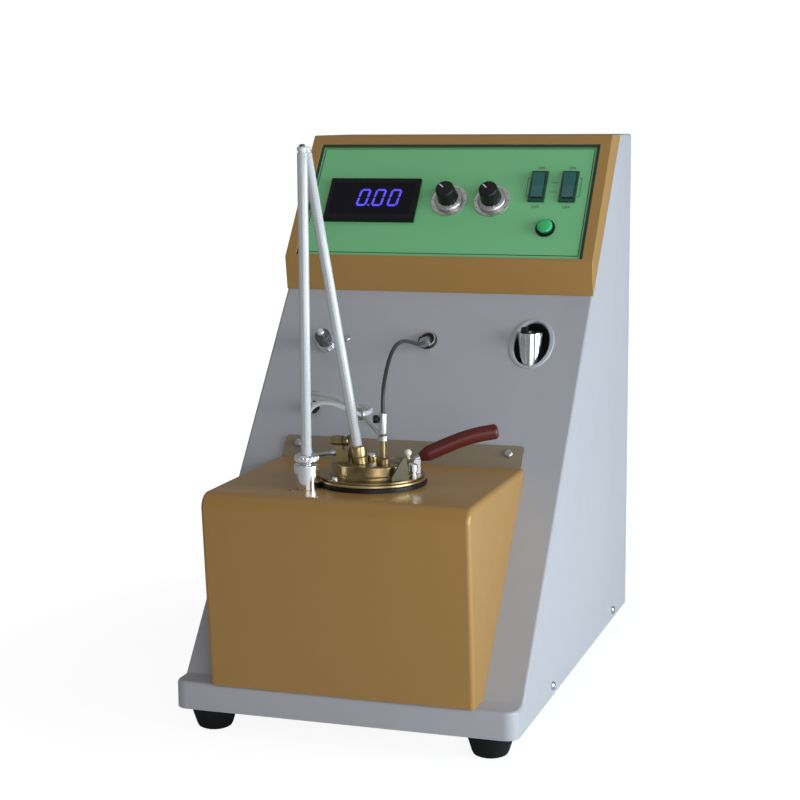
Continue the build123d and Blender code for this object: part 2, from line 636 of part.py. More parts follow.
def rocker(x):
    """Rocker on its pin, resting with one end pressed in."""
    side = [(-ROCKER_HALF_L, ROCKER_RISE), (0, ROCKER_RISE - ROCKER_HOLLOW), (ROCKER_HALF_L, ROCKER_RISE),
            (ROCKER_HALF_L, -ROCKER_DROP), (-ROCKER_HALF_L, -ROCKER_DROP)]
    body = prism(side, ROCKER_W)
    pin = Plane((0, 0, 0), z_dir=(1, 0, 0))
    body += hole(pin, ROCKER_PIN_R, SWITCH_BODY_W / 2 - SWITCH_WALL - RUN)
    return rocker_pin(x) * Rot(ROCKER_TILT, 0, 0) * body


def button_body():
    """Barrel and flange of the push button."""
    front = panel_front(BUTTON_X, BUTTON_UP)
    body = rod(front, BUTTON_FLANGE_R, BUTTON_FLANGE_T)
    body += rod(front, BUTTON_BARREL_R, BUTTON_BARREL_D, -BUTTON_BARREL_D)
    return body - rod(front, BUTTON_R + RUN, 40, -BUTTON_BARREL_D + 2)


def button_cap():
    """Round push-button cap that springs back."""
    front = panel_front(BUTTON_X, BUTTON_UP)
    low, high = BUTTON_TRAVEL + 2.5 - BUTTON_BARREL_D, BUTTON_FLANGE_T + BUTTON_TRAVEL + 0.6
    return turned([(0, low), (BUTTON_R, low), (BUTTON_R, high - 1.2), (BUTTON_R - 1.2, high - 0.3),
                   (BUTTON_R - 2.6, high), (0, high)], front)


# --------------------------------------------------- fittings on the slope
def socket_ring():
    """Black ring on the slope round the drive nipple."""
    seat = slope_plane(SOCKET_X, slope_up(SOCKET_Z))
    r, t, edge = SOCKET_RING_R, SOCKET_RING_T, SOCKET_EDGE
    ring = turned([(0, 0), (r, 0), (r, t - edge), (r - edge, t), (0, t)], seat)
    along = Plane((SOCKET_X, slope_y(SOCKET_Z), SOCKET_Z), z_dir=(0, 1, 0))
    return ring - hole(along, NIPPLE_R + RUN, 2 * CUT)


def drive_nipple():
    """Level tube through the slope, on the plate behind it that carries the motor."""
    start = Plane((SOCKET_X, NIPPLE_Y, SOCKET_Z), z_dir=(0, 1, 0))
    length = MOTOR_Y - NIPPLE_Y
    body = rod(start, NIPPLE_R, length)
    behind = slope_plane(SOCKET_X, slope_up(SOCKET_Z), -SHEET)
    body += block(behind, MOTOR_PLATE_W, MOTOR_PLATE_W, SHEET, -SHEET)
    return body - rod(start, STIR_SHAFT_R + RUN, length)


def stirrer_motor():
    """Gear motor inside the housing, level with the drive nipple."""
    front = Plane((SOCKET_X, MOTOR_Y, SOCKET_Z), z_dir=(0, 1, 0))
    body = turned([(0, 0), (MOTOR_R / 2, 0), (MOTOR_R, MOTOR_R / 2), (MOTOR_R, MOTOR_L),
                   (MOTOR_R - MOTOR_EDGE, MOTOR_L + MOTOR_EDGE), (0, MOTOR_L + MOTOR_EDGE)], front)
    return body + rod(front, STIR_SHAFT_R, MOTOR_SHAFT_L, -MOTOR_SHAFT_L)


def lamp_can():
    """Upright chrome lamp can in its oval hole, on a foot welded behind the slope."""
    bottom = LAMP_TOP_Z - LAMP_H
    seat = upright(LAMP_X, LAMP_Y, bottom)
    can = rod(seat, LAMP_R, LAMP_H) - rod(seat, LAMP_R - LAMP_WALL, LAMP_H, LAMP_WALL)
    skin = SHEET / cos(SLOPE_A)
    low = bottom - LAMP_FOOT_T
    shelf = [(slope_y(bottom) + skin, bottom), (LAMP_Y + LAMP_R, bottom),
             (LAMP_Y + LAMP_R, low), (slope_y(low) + skin, low)]
    return can + prism(shelf, LAMP_FOOT_W, LAMP_X)


def lamp_cap():
    """Black lamp holder in the top of the can, with its terminal block."""
    top = upright(LAMP_X, LAMP_Y, LAMP_TOP_Z - LAMP_CAP_IN)
    cap = rod(top, LAMP_R - LAMP_WALL - RUN, LAMP_CAP_T, -LAMP_CAP_T)
    return cap + top * Pos(TERMINAL_X, TERMINAL_Y, 0) * Box(TERMINAL_W, TERMINAL_D, TERMINAL_H, align=FROM_BASE)


def gas_valve():
    """Needle valve: a ribbed collar on the slope and a threaded shank behind it."""
    seat = slope_plane(VALVE_X, VALVE_UP)
    rib = VALVE_RING_H / VALVE_RIBS
    root = VALVE_RING_R - VALVE_RIB_PROUD
    profile = [(0, 0)]
    for step in range(VALVE_RIBS):
        base = step * rib
        profile += [(root, base), (VALVE_RING_R, base + rib * 0.3), (VALVE_RING_R, base + rib * 0.75)]
    profile += [(root, VALVE_RING_H), (0, VALVE_RING_H)]
    body = turned(profile, seat) + rod(seat, VALVE_SHANK_R, VALVE_SHANK_L, -VALVE_SHANK_L)
    return body - rod(seat, VALVE_STEM_R + RUN, VALVE_RING_H + VALVE_BORE_D, -VALVE_BORE_D)


def valve_knob():
    """Black valve knob on its stem, with a bright cap."""
    seat = slope_plane(VALVE_X, VALVE_UP, VALVE_RING_H + EASE)
    r, h, cap_r, cap_h = VALVE_KNOB_R, VALVE_KNOB_H, VALVE_CAP_R, VALVE_KNOB_H + VALVE_CAP_H
    edge = cap_r * 0.2
    body = turned([(0, 0), (r, 0), (r, h - edge), (r - edge, h), (cap_r, h), (cap_r, cap_h - edge),
                   (cap_r - edge, cap_h), (0, cap_h)], seat)
    cuts = seat * (Sketch() + PolarLocations(r + VALVE_FLUTE_R / 3, VALVE_FLUTES) * Circle(VALVE_FLUTE_R))
    body -= extrude(cuts, h - 2 * edge)
    stem = VALVE_RING_H + EASE + VALVE_BORE_D - VALVE_STEM_END
    return body + rod(seat, VALVE_STEM_R, stem, -stem)


def hose_barb():
    """Hose barb on the slope: a hexagon nut and a ridged spigot."""
    seat = slope_plane(BARB_X, BARB_UP)
    nut = extrude(seat * RegularPolygon(BARB_NUT_R, 6), BARB_NUT_T)
    spigot = [(0, BARB_NUT_T), (BARB_CORE_R, BARB_NUT_T)]
    base = BARB_NUT_T + BARB_PITCH * 0.4
    while base + BARB_PITCH < BARB_L:
        spigot += [(BARB_CORE_R, base), (BARB_RIDGE_R, base + EASE), (BARB_CORE_R, base + BARB_PITCH * 0.8)]
        base += BARB_PITCH
    spigot += [(BARB_CORE_R, BARB_L), (0, BARB_L)]
    return nut + turned(spigot, seat) + rod(seat, VALVE_SHANK_R, VALVE_SHANK_L, -VALVE_SHANK_L)


def gas_nozzle():
    """Brass gas inlet nozzle on the rear cover."""
    back = Plane((VALVE_X, HOUSING_D, VALVE_Z), z_dir=(0, 1, 0))
    r, collar_r, collar_t = NOZZLE_R, NOZZLE_COLLAR_R, NOZZLE_COLLAR_T
    body = turned([(0, 0), (collar_r, 0), (collar_r, collar_t), (r, collar_t * 1.2), (r, NOZZLE_OUT - 2),
                   (r - 1, NOZZLE_OUT), (0, NOZZLE_OUT)], back)
    body += rod(back, NOZZLE_SHANK_R, COVER_T + NOZZLE_SHANK_L, -COVER_T - NOZZLE_SHANK_L)
    return body - hole(back, NOZZLE_BORE_R, 2 * CUT)


def gas_lines():
    """Copper pipes inside: from the nozzle to the valve, and from the valve to the barb."""
    end = slope_plane(VALVE_X, VALVE_UP, -VALVE_SHANK_L).origin
    elbow = end - SLOPE_OUT * PIPE_DROP
    rear = Vector(VALVE_X, SHELL_D - NOZZLE_SHANK_L, VALVE_Z)
    path = FilletPolyline(rear, Vector(VALVE_X, elbow.Y + PIPE_RISE, VALVE_Z), elbow, end, radius=PIPE_BEND_R)
    supply = sweep(Plane(path @ 0, z_dir=path % 0) * Circle(PIPE_R), path=path)
    depth = PIPE_R - VALVE_SHANK_L
    feed = bar_between(slope_plane(BARB_X, BARB_UP, depth).origin, slope_plane(VALVE_X, VALVE_UP, depth).origin,
                       PIPE_R * 0.7)
    for x, up in ((BARB_X, BARB_UP), (VALVE_X, VALVE_UP)):
        feed -= rod(slope_plane(x, up), VALVE_SHANK_R, VALVE_SHANK_L, -VALVE_SHANK_L)
    return [supply, feed]


def mains_inlet():
    """Mains inlet with its flange, its socket and three pins."""
    back = Plane((INLET_X, HOUSING_D, INLET_Z), x_dir=(-1, 0, 0), z_dir=(0, 1, 0))
    body = block(back, INLET_W, INLET_H, INLET_FLANGE_T)
    body += block(back, INLET_BODY_W - 2 * EASE, INLET_BODY_H - 2 * EASE, INLET_BODY_D, -INLET_BODY_D)
    body -= block(back, INLET_WELL_W, INLET_WELL_H, 2 * INLET_WELL_D, -INLET_WELL_D)
    pin = Box(INLET_PIN_W, INLET_PIN_H, INLET_WELL_D, align=FROM_BASE)
    for x, y in INLET_PINS:
        body += back * Pos(x, y, -INLET_WELL_D - 1) * pin
    return body


# ------------------------------------------------------------------ bath box
BOX_OUTLINE = [(BOX_FRONT_FOOT_Y, LIP_H), (BOX_FRONT_TOP_Y, BOX_TOP), (BOX_BACK_Y, BOX_TOP),
               (LEDGE_D, LIP_H)]


def bath_box():
    """Folded box on the slope that covers the bath, with an upstand along its back."""
    outer = prism(BOX_OUTLINE, BOX_W)
    brow = [e for e in outer.edges() if abs((e @ 0.5).X) < 1 and (e @ 0.5).Y < 0 and (e @ 0.5).Z > BOX_TOP - 1]
    outer = fillet(brow, BOX_FOLD_R)
    sides = [e for e in outer.edges() if abs(abs((e @ 0.5).X) - BOX_W / 2) < 0.01
             and (e @ 0.5).Z < BOX_TOP - 0.01 and (e @ 0.5).Y < 2 and (e @ 0.5).Z > LIP_H + 1]
    outer = fillet(sides, BOX_SIDE_R)
    walls = [BOX_SHEET, BOX_SHEET, OPEN, OPEN]
    hollow = prism(inset(BOX_OUTLINE, walls), BOX_W - 2 * BOX_SHEET)
    brow = [e for e in hollow.edges() if abs((e @ 0.5).X) < 1 and (e @ 0.5).Y < 2 and (e @ 0.5).Z > BOX_TOP - 3]
    hollow = fillet(brow, BOX_FOLD_R - BOX_SHEET)
    box = outer - hollow
    start = BOX_FOOT_UP - BOX_SHEET
    middle = slope_plane(0, start + (UPSTAND_H + BOX_SHEET) / 2)
    upstand = block(middle, UPSTAND_W, UPSTAND_H + BOX_SHEET, BOX_SHEET)
    top_edge = [e for e in upstand.edges() if e.length < BOX_SHEET + 0.1 and (e @ 0.5).Z > BOX_TOP + 2]
    box += fillet(top_edge, UPSTAND_CORNER_R)
    box -= hole(upright(CUP_X, CUP_Y, BOX_TOP), CHAMBER_R + RUN + EASE)
    box -= hole(upright(BATH_THERMO_X, BATH_THERMO_Y, BOX_TOP), BUSH_SHANK_R + RUN)
    for spot in UPSTAND_SCREWS:
        box -= hole(spot, SCREW_R + RUN)
    return box


COLLAR_BORE_R = CHAMBER_R + EASE
RIM_R = CHAMBER_R + 3.8
RIM_T = 1.5


def bath_collar():
    """Black ring on top of the box, counterbored for the air chamber's rim."""
    collar = tube(upright(CUP_X, CUP_Y, BOX_TOP), COLLAR_R, COLLAR_BORE_R, COLLAR_H)
    return collar - rod(upright(CUP_X, CUP_Y, CHAMBER_TOP - RIM_T), RIM_R + RUN, RIM_T)


def air_chamber():
    """Air chamber: the closed sleeve in the bath that the cup hangs in."""
    r, low, high = CHAMBER_R, CHAMBER_TOP - CHAMBER_H, CHAMBER_TOP
    bore = r - CHAMBER_WALL
    return turned([(0, low), (r, low), (r, high - RIM_T), (RIM_R, high - RIM_T), (RIM_R, high),
                   (bore, high), (bore, low + CHAMBER_WALL), (0, low + CHAMBER_WALL)],
                  upright(CUP_X, CUP_Y, 0))


TANK_TOP = BOX_TOP - BOX_SHEET


def bath_tank():
    """Bath tank under the top of the box."""
    r, low, high = TANK_R, TANK_TOP - TANK_H, TANK_TOP
    bore = r - TANK_WALL
    lip = 2.5
    return turned([(0, low), (r, low), (r, high - TANK_WALL), (r + lip, high - TANK_WALL), (r + lip, high),
                   (bore, high), (bore, low + TANK_WALL), (0, low + TANK_WALL)], upright(CUP_X, CUP_Y, 0))


HEATER_RING_R, HEATER_R, HEATER_UP = 42.0, 3.2, 7.0


def bath_heater():
    """Immersion heater: a ring on two legs in the floor of the tank."""
    floor = TANK_TOP - TANK_H + TANK_WALL
    ring = Pos(CUP_X, CUP_Y, floor + HEATER_UP) * Torus(HEATER_RING_R, HEATER_R)
    for side in (-1, 1):
        ring += rod(upright(CUP_X + side * HEATER_RING_R, CUP_Y, floor), HEATER_R, HEATER_UP)
    return ring


def thermometer_bush():
    """Chrome bush on the box that carries the bath thermometer."""
    seat = upright(BATH_THERMO_X, BATH_THERMO_Y, BOX_TOP)
    low, edge = -BUSH_SHANK_L, BUSH_EDGE
    body = turned([(0, low), (BUSH_SHANK_R, low), (BUSH_SHANK_R, 0), (BUSH_R, 0), (BUSH_R, BUSH_H - edge),
                   (BUSH_R - edge, BUSH_H), (0, BUSH_H)], seat)
    return body - hole(seat, THERMO_R + RUN, 3 * CUT)


def gland_nut():
    """Knurled gland nut on top of the bush, narrow below and wide above."""
    seat = upright(BATH_THERMO_X, BATH_THERMO_Y, BUSH_TOP)
    r, neck, h = BUSH_R - 0.4, GLAND_NECK_R, GLAND_H
    body = turned([(0, 0), (neck, 0), (neck + 0.8, h * 0.23), (r, h * 0.37), (r, h * 0.8),
                   (r - 1.2, h), (0, h)], seat)
    body -= hole(seat, THERMO_R + RUN)
    return body - extrude(seat * (Sketch() + PolarLocations(BUSH_R, KNURLS) * Circle(KNURL_R)), h)


BULB_R = 2.6
BULB_L = 12.0


def thermometer(seat, shown, hidden):
    """Glass thermometer: its bulb, its stem and a small ring at its top."""
    r = THERMO_R
    return turned([(0, -hidden), (BULB_R * 0.5, -hidden), (BULB_R, -hidden + 1.5),
                   (BULB_R, -hidden + BULB_L), (r, -hidden + BULB_L + 2), (r, shown - 4.4),
                   (r * 0.8, shown - 4.2), (r * 0.8, shown - 3.2), (r, shown - 3.0), (r, shown - 0.8),
                   (r - 0.8, shown), (0, shown)], seat)


BATH_HIDDEN = 71.0


def bath_thermometer():
    """Upright thermometer of the bath."""
    return thermometer(upright(BATH_THERMO_X, BATH_THERMO_Y, GLAND_TOP), THERMO_SHOWN, BATH_HIDDEN)


# ------------------------------------------------------------- cup and lid
CUP_OUT_R = CUP_BORE_R + CUP_WALL


def test_cup():
    """Brass test cup with the flange that it hangs by."""
    inside = CUP_RIM - CUP_DEPTH
    low = inside - CUP_WALL
    return turned([(0, low), (CUP_OUT_R - 1, low), (CUP_OUT_R, low + 1), (CUP_OUT_R, CUP_SEAT),
                   (CUP_FLANGE_R - 0.4, CUP_SEAT), (CUP_FLANGE_R, CUP_SEAT + 0.4),
                   (CUP_FLANGE_R, CUP_RIM - 0.4), (CUP_FLANGE_R - 0.4, CUP_RIM), (CUP_BORE_R, CUP_RIM),
                   (CUP_BORE_R, inside), (0, inside)], upright(CUP_X, CUP_Y, 0))


SPIGOT_R, SPIGOT_WALL, SPIGOT_DROP = CUP_BORE_R - EASE, 2.0, 2.4
BEARING_SPIGOT_R = 3.0
LID_AXIS = upright(CUP_X, CUP_Y, 0)


def lid_spot(angle, radius, z):
    """Plane over the lid at an angle and a radius from its middle; X points outwards."""
    x = CUP_X + radius * cos(radians(angle))
    y = CUP_Y + radius * sin(radians(angle))
    return Plane((x, y, z), x_dir=(cos(radians(angle)), sin(radians(angle)), 0), z_dir=(0, 0, 1))


LEAN = radians(CUP_THERMO_LEAN)
THERMO_AXIS = Plane((CUP_THERMO_X, CUP_THERMO_Y, LID_TOP), x_dir=(cos(LEAN), 0, sin(LEAN)),
                    z_dir=(-sin(LEAN), 0, cos(LEAN)))
STIR_SEAT = upright(STIR_X, STIR_Y, LID_TOP)
LID_SCREW_ANGLES = (-121.0, 110.0, 160.0)
LID_SCREW_R = 34.6
CLAMP_ANGLE, CLAMP_REACH = -9.0, 33.8
CLAMP_R, CLAMP_H = 3.2, 10.0
CLAMP_NECK_R = 2.3
PIVOT_R = 1.6
PIVOT_HEAD_R, PIVOT_HEAD_H = 3.4, 1.8
HUB_R, HUB_H, HUB_GAP = 4.6, 3.0, 0.1
SECTOR_HALF = 17.0
SECTOR_R = 25.0
ARM_W, ARM_T = 4.4, 1.2
BALL_R = 2.8
BALL_NECK_R = 1.2
BALL_UP = 4.4           # middle of the ball above the foot of the arm


def lid():
    """Brass lid: a drum on a flange, with ports for the flame, thermometer and stirrer."""
    top = LID_TOP
    step = LID_Z + DRUM_STEP_H
    roof = top - DRUM_WALL
    bore = SPIGOT_R - SPIGOT_WALL
    foot_z = LID_Z - SPIGOT_DROP
    body = turned([(bore, foot_z), (SPIGOT_R, foot_z), (SPIGOT_R, LID_Z), (LID_FLANGE_R, LID_Z),
                   (LID_FLANGE_R, LID_Z + LID_FLANGE_T), (DRUM_STEP_R, LID_Z + LID_FLANGE_T),
                   (DRUM_STEP_R, step), (DRUM_R, step + 0.5), (DRUM_R, top - 0.8), (DRUM_R - 0.8, top),
                   (0, top), (0, roof), (bore, roof)], LID_AXIS)
    body -= hole(lid_spot(PORT_ANGLE, PORT_RADIUS, top), PORT_R)
    body -= hole(THERMO_AXIS, THERMO_R + EASE)
    body -= hole(STIR_SEAT, BEARING_SPIGOT_R + RUN)
    body -= hole(lid_spot(0, 0, top), PIVOT_R + RUN)
    flange = LID_Z + LID_FLANGE_T
    for angle in LID_SCREW_ANGLES:
        body -= hole(lid_spot(angle, LID_SCREW_R, flange), SCREW_R + RUN)
    return body - hole(lid_spot(CLAMP_ANGLE, CLAMP_REACH, flange), SCREW_R + RUN)


def lid_screws():
    """Screws of the lid's flange, and the pivot screw of the shutter."""
    solids = [screw(lid_spot(angle, LID_SCREW_R, LID_Z + LID_FLANGE_T), 2.6, 1.8, LID_FLANGE_T)
              for angle in LID_SCREW_ANGLES]
    pivot_top = LID_TOP + HUB_GAP + HUB_H + HUB_GAP
    pivot = rod(upright(CUP_X, CUP_Y, LID_TOP - DRUM_WALL), PIVOT_R, pivot_top - LID_TOP + DRUM_WALL)
    r, h = PIVOT_HEAD_R, PIVOT_HEAD_H
    pivot += turned([(0, 0), (r, 0), (r, h * 0.55), (r * 0.7, h), (0, h)], upright(CUP_X, CUP_Y, pivot_top))
    return solids + [pivot]


def shutter():
    """Shutter blade over the flame port, with its arm and ball knob, on one hub."""
    base = LID_TOP + HUB_GAP
    hub = tube(upright(CUP_X, CUP_Y, base), HUB_R, PIVOT_R + RUN, HUB_H)
    blade = LID_AXIS.offset(base) * CenterArc((0, 0), SECTOR_R, PORT_ANGLE - SECTOR_HALF, 2 * SECTOR_HALF)
    ends = [blade @ 0, blade @ 1]
    middle = Vector(CUP_X, CUP_Y, base)
    sector = extrude(make_face([blade, Line(ends[1], middle), Line(middle, ends[0])]), SHUTTER_T, dir=(0, 0, 1))
    sector -= hole(upright(CUP_X, CUP_Y, base), HUB_R - 0.5)
    arm_z = base + HUB_H - ARM_T
    along = lid_spot(ARM_ANGLE, 0, arm_z)
    start = HUB_R - 1
    arm = along * Pos((start + BALL_REACH) / 2, 0, 0) * Box(BALL_REACH - start, ARM_W, ARM_T, align=FROM_BASE)
    end = lid_spot(ARM_ANGLE, BALL_REACH, arm_z)
    arm += rod(end, ARM_W / 2, ARM_T) + rod(end, BALL_NECK_R, BALL_UP) + end.offset(BALL_UP) * Sphere(BALL_R)
    return hub + sector + arm


def clamp_screw():
    """Tall knurled screw that clamps the lid."""
    seat = lid_spot(CLAMP_ANGLE, CLAMP_REACH, LID_Z + LID_FLANGE_T)
    r, neck, h = CLAMP_R, CLAMP_NECK_R, CLAMP_H
    return turned([(0, -LID_FLANGE_T), (SCREW_R, -LID_FLANGE_T), (SCREW_R, 0), (r, 0), (r, h * 0.2),
                   (neck, h * 0.26), (neck, h * 0.36), (r, h * 0.42), (r, h * 0.92),
                   (r * 0.75, h), (0, h)], seat)


STOP_ANGLE, STOP_REACH, STOP_TURN = -36.0, 34.9, 40.0
STOP_W, STOP_HIGH, STOP_T = 13.4, 16.5, 2.4
STOP_FOOT, STOP_TIP = 2.0, 1.4     # height of the foot's ends, half width of the tip


def stop_bracket():
    """Three-cornered bracket on the lid's flange that stops the shutter's arm."""
    centre = lid_spot(STOP_ANGLE, STOP_REACH, LID_Z + LID_FLANGE_T).origin
    turn = radians(STOP_TURN)
    face = Plane(centre, x_dir=(cos(turn), sin(turn), 0), z_dir=(sin(turn), -cos(turn), 0))
    half = STOP_W / 2
    apex = half * 0.5
    outline = Polyline((-half, 0), (half, 0), (half, STOP_FOOT), (apex + STOP_TIP, STOP_HIGH),
                       (apex - STOP_TIP, STOP_HIGH), (-half, STOP_FOOT), close=True)
    return extrude(face * make_face(outline), STOP_T / 2, both=True)


def thermometer_ferrule():
    """Leaning brass ferrule on the drum that holds the cup thermometer."""
    r, h = FERRULE_R, FERRULE_L
    low, neck, waist = -h / 3, r * 0.94, h / 3
    body = turned([(0, low), (neck, low), (neck, waist), (r, waist + 0.4), (r, h - 0.8), (r - 0.8, h), (0, h)],
                  THERMO_AXIS)
    body -= hole(THERMO_AXIS, THERMO_R + RUN, 2 * CUT)
    return body - block(upright(CUP_THERMO_X, CUP_THERMO_Y, LID_TOP), 4 * CUT, 4 * CUT, CUT, -CUT)


CUP_THERMO_HIDDEN = 53.0


def cup_thermometer():
    """Leaning thermometer of the test cup."""
    return thermometer(THERMO_AXIS.offset(FERRULE_L), THERMO_SHOWN - 2, CUP_THERMO_HIDDEN)


STIR_TUBE_TOP = DRIVE_FERRULE_Z + 13.0
BEARING_COLLAR_R, BEARING_COLLAR_H = 4.6, 4.6


def stirrer_bearing():
    """Brass bearing: a collar on the drum and the tube that the drive clips on to."""
    rise = STIR_TUBE_TOP - LID_TOP
    r, h = BEARING_COLLAR_R, BEARING_COLLAR_H
    body = turned([(0, -DRUM_WALL), (BEARING_SPIGOT_R, -DRUM_WALL), (BEARING_SPIGOT_R, 0), (r, 0),
                   (r, h - 1), (r - 1, h), (STIR_TUBE_R, h), (STIR_TUBE_R, rise), (0, rise)], STIR_SEAT)
    return body - hole(STIR_SEAT, STIR_SHAFT_R + RUN, 2 * rise)


STIR_DEPTH = 49.0
BLADES = 4
BLADE_REACH, BLADE_H, BLADE_T, BLADE_PITCH = 4.0, 3.4, 0.8, 35.0
BLADE_HUB_R, BLADE_HUB_H = 2.4, 5.0


def stirrer():
    """Stirrer spindle with four pitched blades at its foot."""
    foot_plane = STIR_SEAT.offset(-STIR_DEPTH)
    length = STIR_TUBE_TOP - LID_TOP + STIR_DEPTH - 1.0
    body = rod(foot_plane, STIR_SHAFT_R, length) + rod(foot_plane, BLADE_HUB_R, BLADE_HUB_H)
    middle = Pos(BLADE_REACH / 2, 0, BLADE_HUB_H / 2)
    blade = middle * Rot(BLADE_PITCH, 0, 0) * Box(BLADE_REACH, BLADE_T, BLADE_H)
    for step in range(BLADES):
        body += foot_plane * Rot(0, 0, 360 / BLADES * step) * blade
    return body


GRUB_TURN, GRUB_UP = 18.0, 11.0
GRUB_R, GRUB_IN = 1.2, 0.9
GRUB_HEAD_R, GRUB_HEAD_H = 3.0, 4.0


def drive_ferrule():
    """Bright ferrule of the flexible shaft, over the bearing tube."""
    seat = upright(STIR_X, STIR_Y, DRIVE_FERRULE_Z)
    r, h = DRIVE_FERRULE_R, DRIVE_FERRULE_H
    body = turned([(0, 0), (r - 0.4, 0), (r, 0.5), (r, h - 0.5), (r - 0.5, h), (0, h)], seat)
    body -= rod(seat, STIR_TUBE_R + RUN, STIR_TUBE_TOP - DRIVE_FERRULE_Z + SEAT)
    return body - hole(ferrule_screw_axis(), GRUB_R + RUN, 2.0)


def ferrule_screw_axis():
    """Plane on the left flank of the ferrule; Z points out along the clamp screw."""
    out = Vector(-cos(radians(GRUB_TURN)), -sin(radians(GRUB_TURN)), 0)
    return Plane(Vector(STIR_X, STIR_Y, DRIVE_FERRULE_Z + GRUB_UP) + out * DRIVE_FERRULE_R, z_dir=out)


def ferrule_screw():
    """Small black thumb screw that clamps the ferrule."""
    foot, head, h = -GRUB_IN, GRUB_HEAD_R, GRUB_HEAD_H
    return turned([(0, foot), (GRUB_R, foot), (GRUB_R, EASE), (head, EASE), (head, h - 0.6),
                   (head - 0.6, h), (0, h)], ferrule_screw_axis())


POST_W, POST_D = 9.0, 5.0
POST_SHIFT = 2.4        # the post's foot stands this far to the right of the bearing
POST_TOP_Z = 191.4
BEARING_W, BEARING_R = 5.0, 3.9
BARREL_R = 2.2
BARREL_HALF = 6.9
BARREL_CAP_R = 3.3
CAP_EDGE = 0.8
JET_R = 1.1
JET_BASE_R, JET_BASE_L = 1.8, 7.0
POST_EDGE = 1.2
HEAD_UP = 2.0           # foot of the burner's bearing above the drum
GAS_PIPE_R = 1.5
GAS_PIPE_Z = 189.4      # where the gas pipe leaves the post
GAS_NUT_R, GAS_NUT_L = 2.5, 5.0
ELBOW_X, ELBOW_Y, ELBOW_Z = -38.7, 46.4, 184.6
ELBOW_R = 3.4
ELBOW_H = 7.0
BARREL_AXIS = Plane((BURNER_X, BURNER_Y, BURNER_AXIS_Z), x_dir=(0, 1, 0), z_dir=(1, 0, 0))


def burner_post():
    """Brass post on the drum with the burner's bearing, its gas pipe and the hose elbow."""
    post = upright(BURNER_X + POST_SHIFT, BURNER_Y, LID_TOP)
    body = block(post, POST_W, POST_D, POST_TOP_Z - LID_TOP)
    body = chamfer(body.edges().filter_by(Axis.Y).group_by(Axis.Z)[-1], POST_EDGE)
    head = upright(BURNER_X, BURNER_Y, LID_TOP + HEAD_UP)
    body += block(head, BEARING_W, POST_D, BURNER_AXIS_Z - head.origin.Z)
    body += rod(BARREL_AXIS, BEARING_R, BEARING_W, -BEARING_W / 2)
    elbow = Vector(ELBOW_X, ELBOW_Y, ELBOW_Z)
    start = Vector(BURNER_X + POST_SHIFT - POST_W / 2 + 1, BURNER_Y, GAS_PIPE_Z)
    body += bar_between(start, elbow, GAS_PIPE_R)
    body += bar_between(start, start + (elbow - start).normalized() * GAS_NUT_L, GAS_NUT_R)
    body += rod(Plane(elbow), ELBOW_R, ELBOW_R + ELBOW_H, -ELBOW_R)
    return body - hole(BARREL_AXIS, BARREL_R + RUN)


def burner():
    """Burner barrel that turns in its post, capped at both ends, with the flame jet."""
    collar, half = BEARING_W / 2 + EASE, BARREL_HALF
    r, cap_r = BARREL_R, BARREL_CAP_R
    flat, bevel = cap_r - CAP_EDGE, half - CAP_EDGE
    body = turned([(0, -half), (flat, -half), (cap_r, -bevel), (cap_r, -collar), (r, -collar),
                   (r, collar), (cap_r, collar), (cap_r, bevel), (flat, half), (0, half)], BARREL_AXIS)
    rise = radians(JET_REST)
    jet = Plane((JET_X, BURNER_Y, BURNER_AXIS_Z), z_dir=(0, cos(rise), sin(rise)))
    return body + turned([(0, 0), (JET_BASE_R, 0), (JET_BASE_R, JET_BASE_L), (JET_R, JET_BASE_L + 1.5),
                          (JET_R, JET_L), (0, JET_L)], jet)


BRACKET_REACH, BRACKET_TOP_Z = 33.0, 182.6
BRACKET_T, BRACKET_W = 5.0, 7.0
TANG_R = 2.4
HANDLE_PATH = ((41.0, 186.3), (59.8, 194.3), (79.1, 200.2), (90.0, 202.0))
CONE_L, CONE_R = 6.2, 3.2
CAP_DOME = 2.4


def handle_point(reach, z):
    """Point in the upright plane that the handle lies in."""
    return lid_spot(HANDLE_ANGLE, reach, z).origin


TANG_START, TANG_END = handle_point(31.5, 182.2), handle_point(54.0, 191.8)


def handle_bracket():
    """Steel bracket on the lid's flange, with the tang that runs into the handle."""
    seat = lid_spot(HANDLE_ANGLE, BRACKET_REACH, LID_Z + LID_FLANGE_T)
    body = block(seat, BRACKET_T, BRACKET_W, BRACKET_TOP_Z - seat.origin.Z)
    return body + bar_between(TANG_START, TANG_END, TANG_R)


def handle():
    """Dark moulded handle: a cone round the tang, a rising grip and a domed end."""
    spots = [handle_point(*spot) for spot in HANDLE_PATH]
    rise = (TANG_END - TANG_START).normalized()
    path = Spline(*spots, tangents=(rise, (spots[-1] - spots[-2]).normalized()))
    r, dome = HANDLE_R, CAP_DOME
    body = sweep(Plane(path @ 0, z_dir=path % 0) * Circle(r), path=path)
    body += turned([(0, 0), (r, 0), (r * 0.86, dome * 0.67), (r * 0.57, dome), (0, dome)],
                   Plane(path @ 1, z_dir=path % 1))
    body += turned([(0, 0), (CONE_R, 0), (r, CONE_L), (0, CONE_L)],
                   Plane(spots[0] - rise * CONE_L, z_dir=rise))
    return body - bar_between(TANG_START, TANG_END, TANG_R)


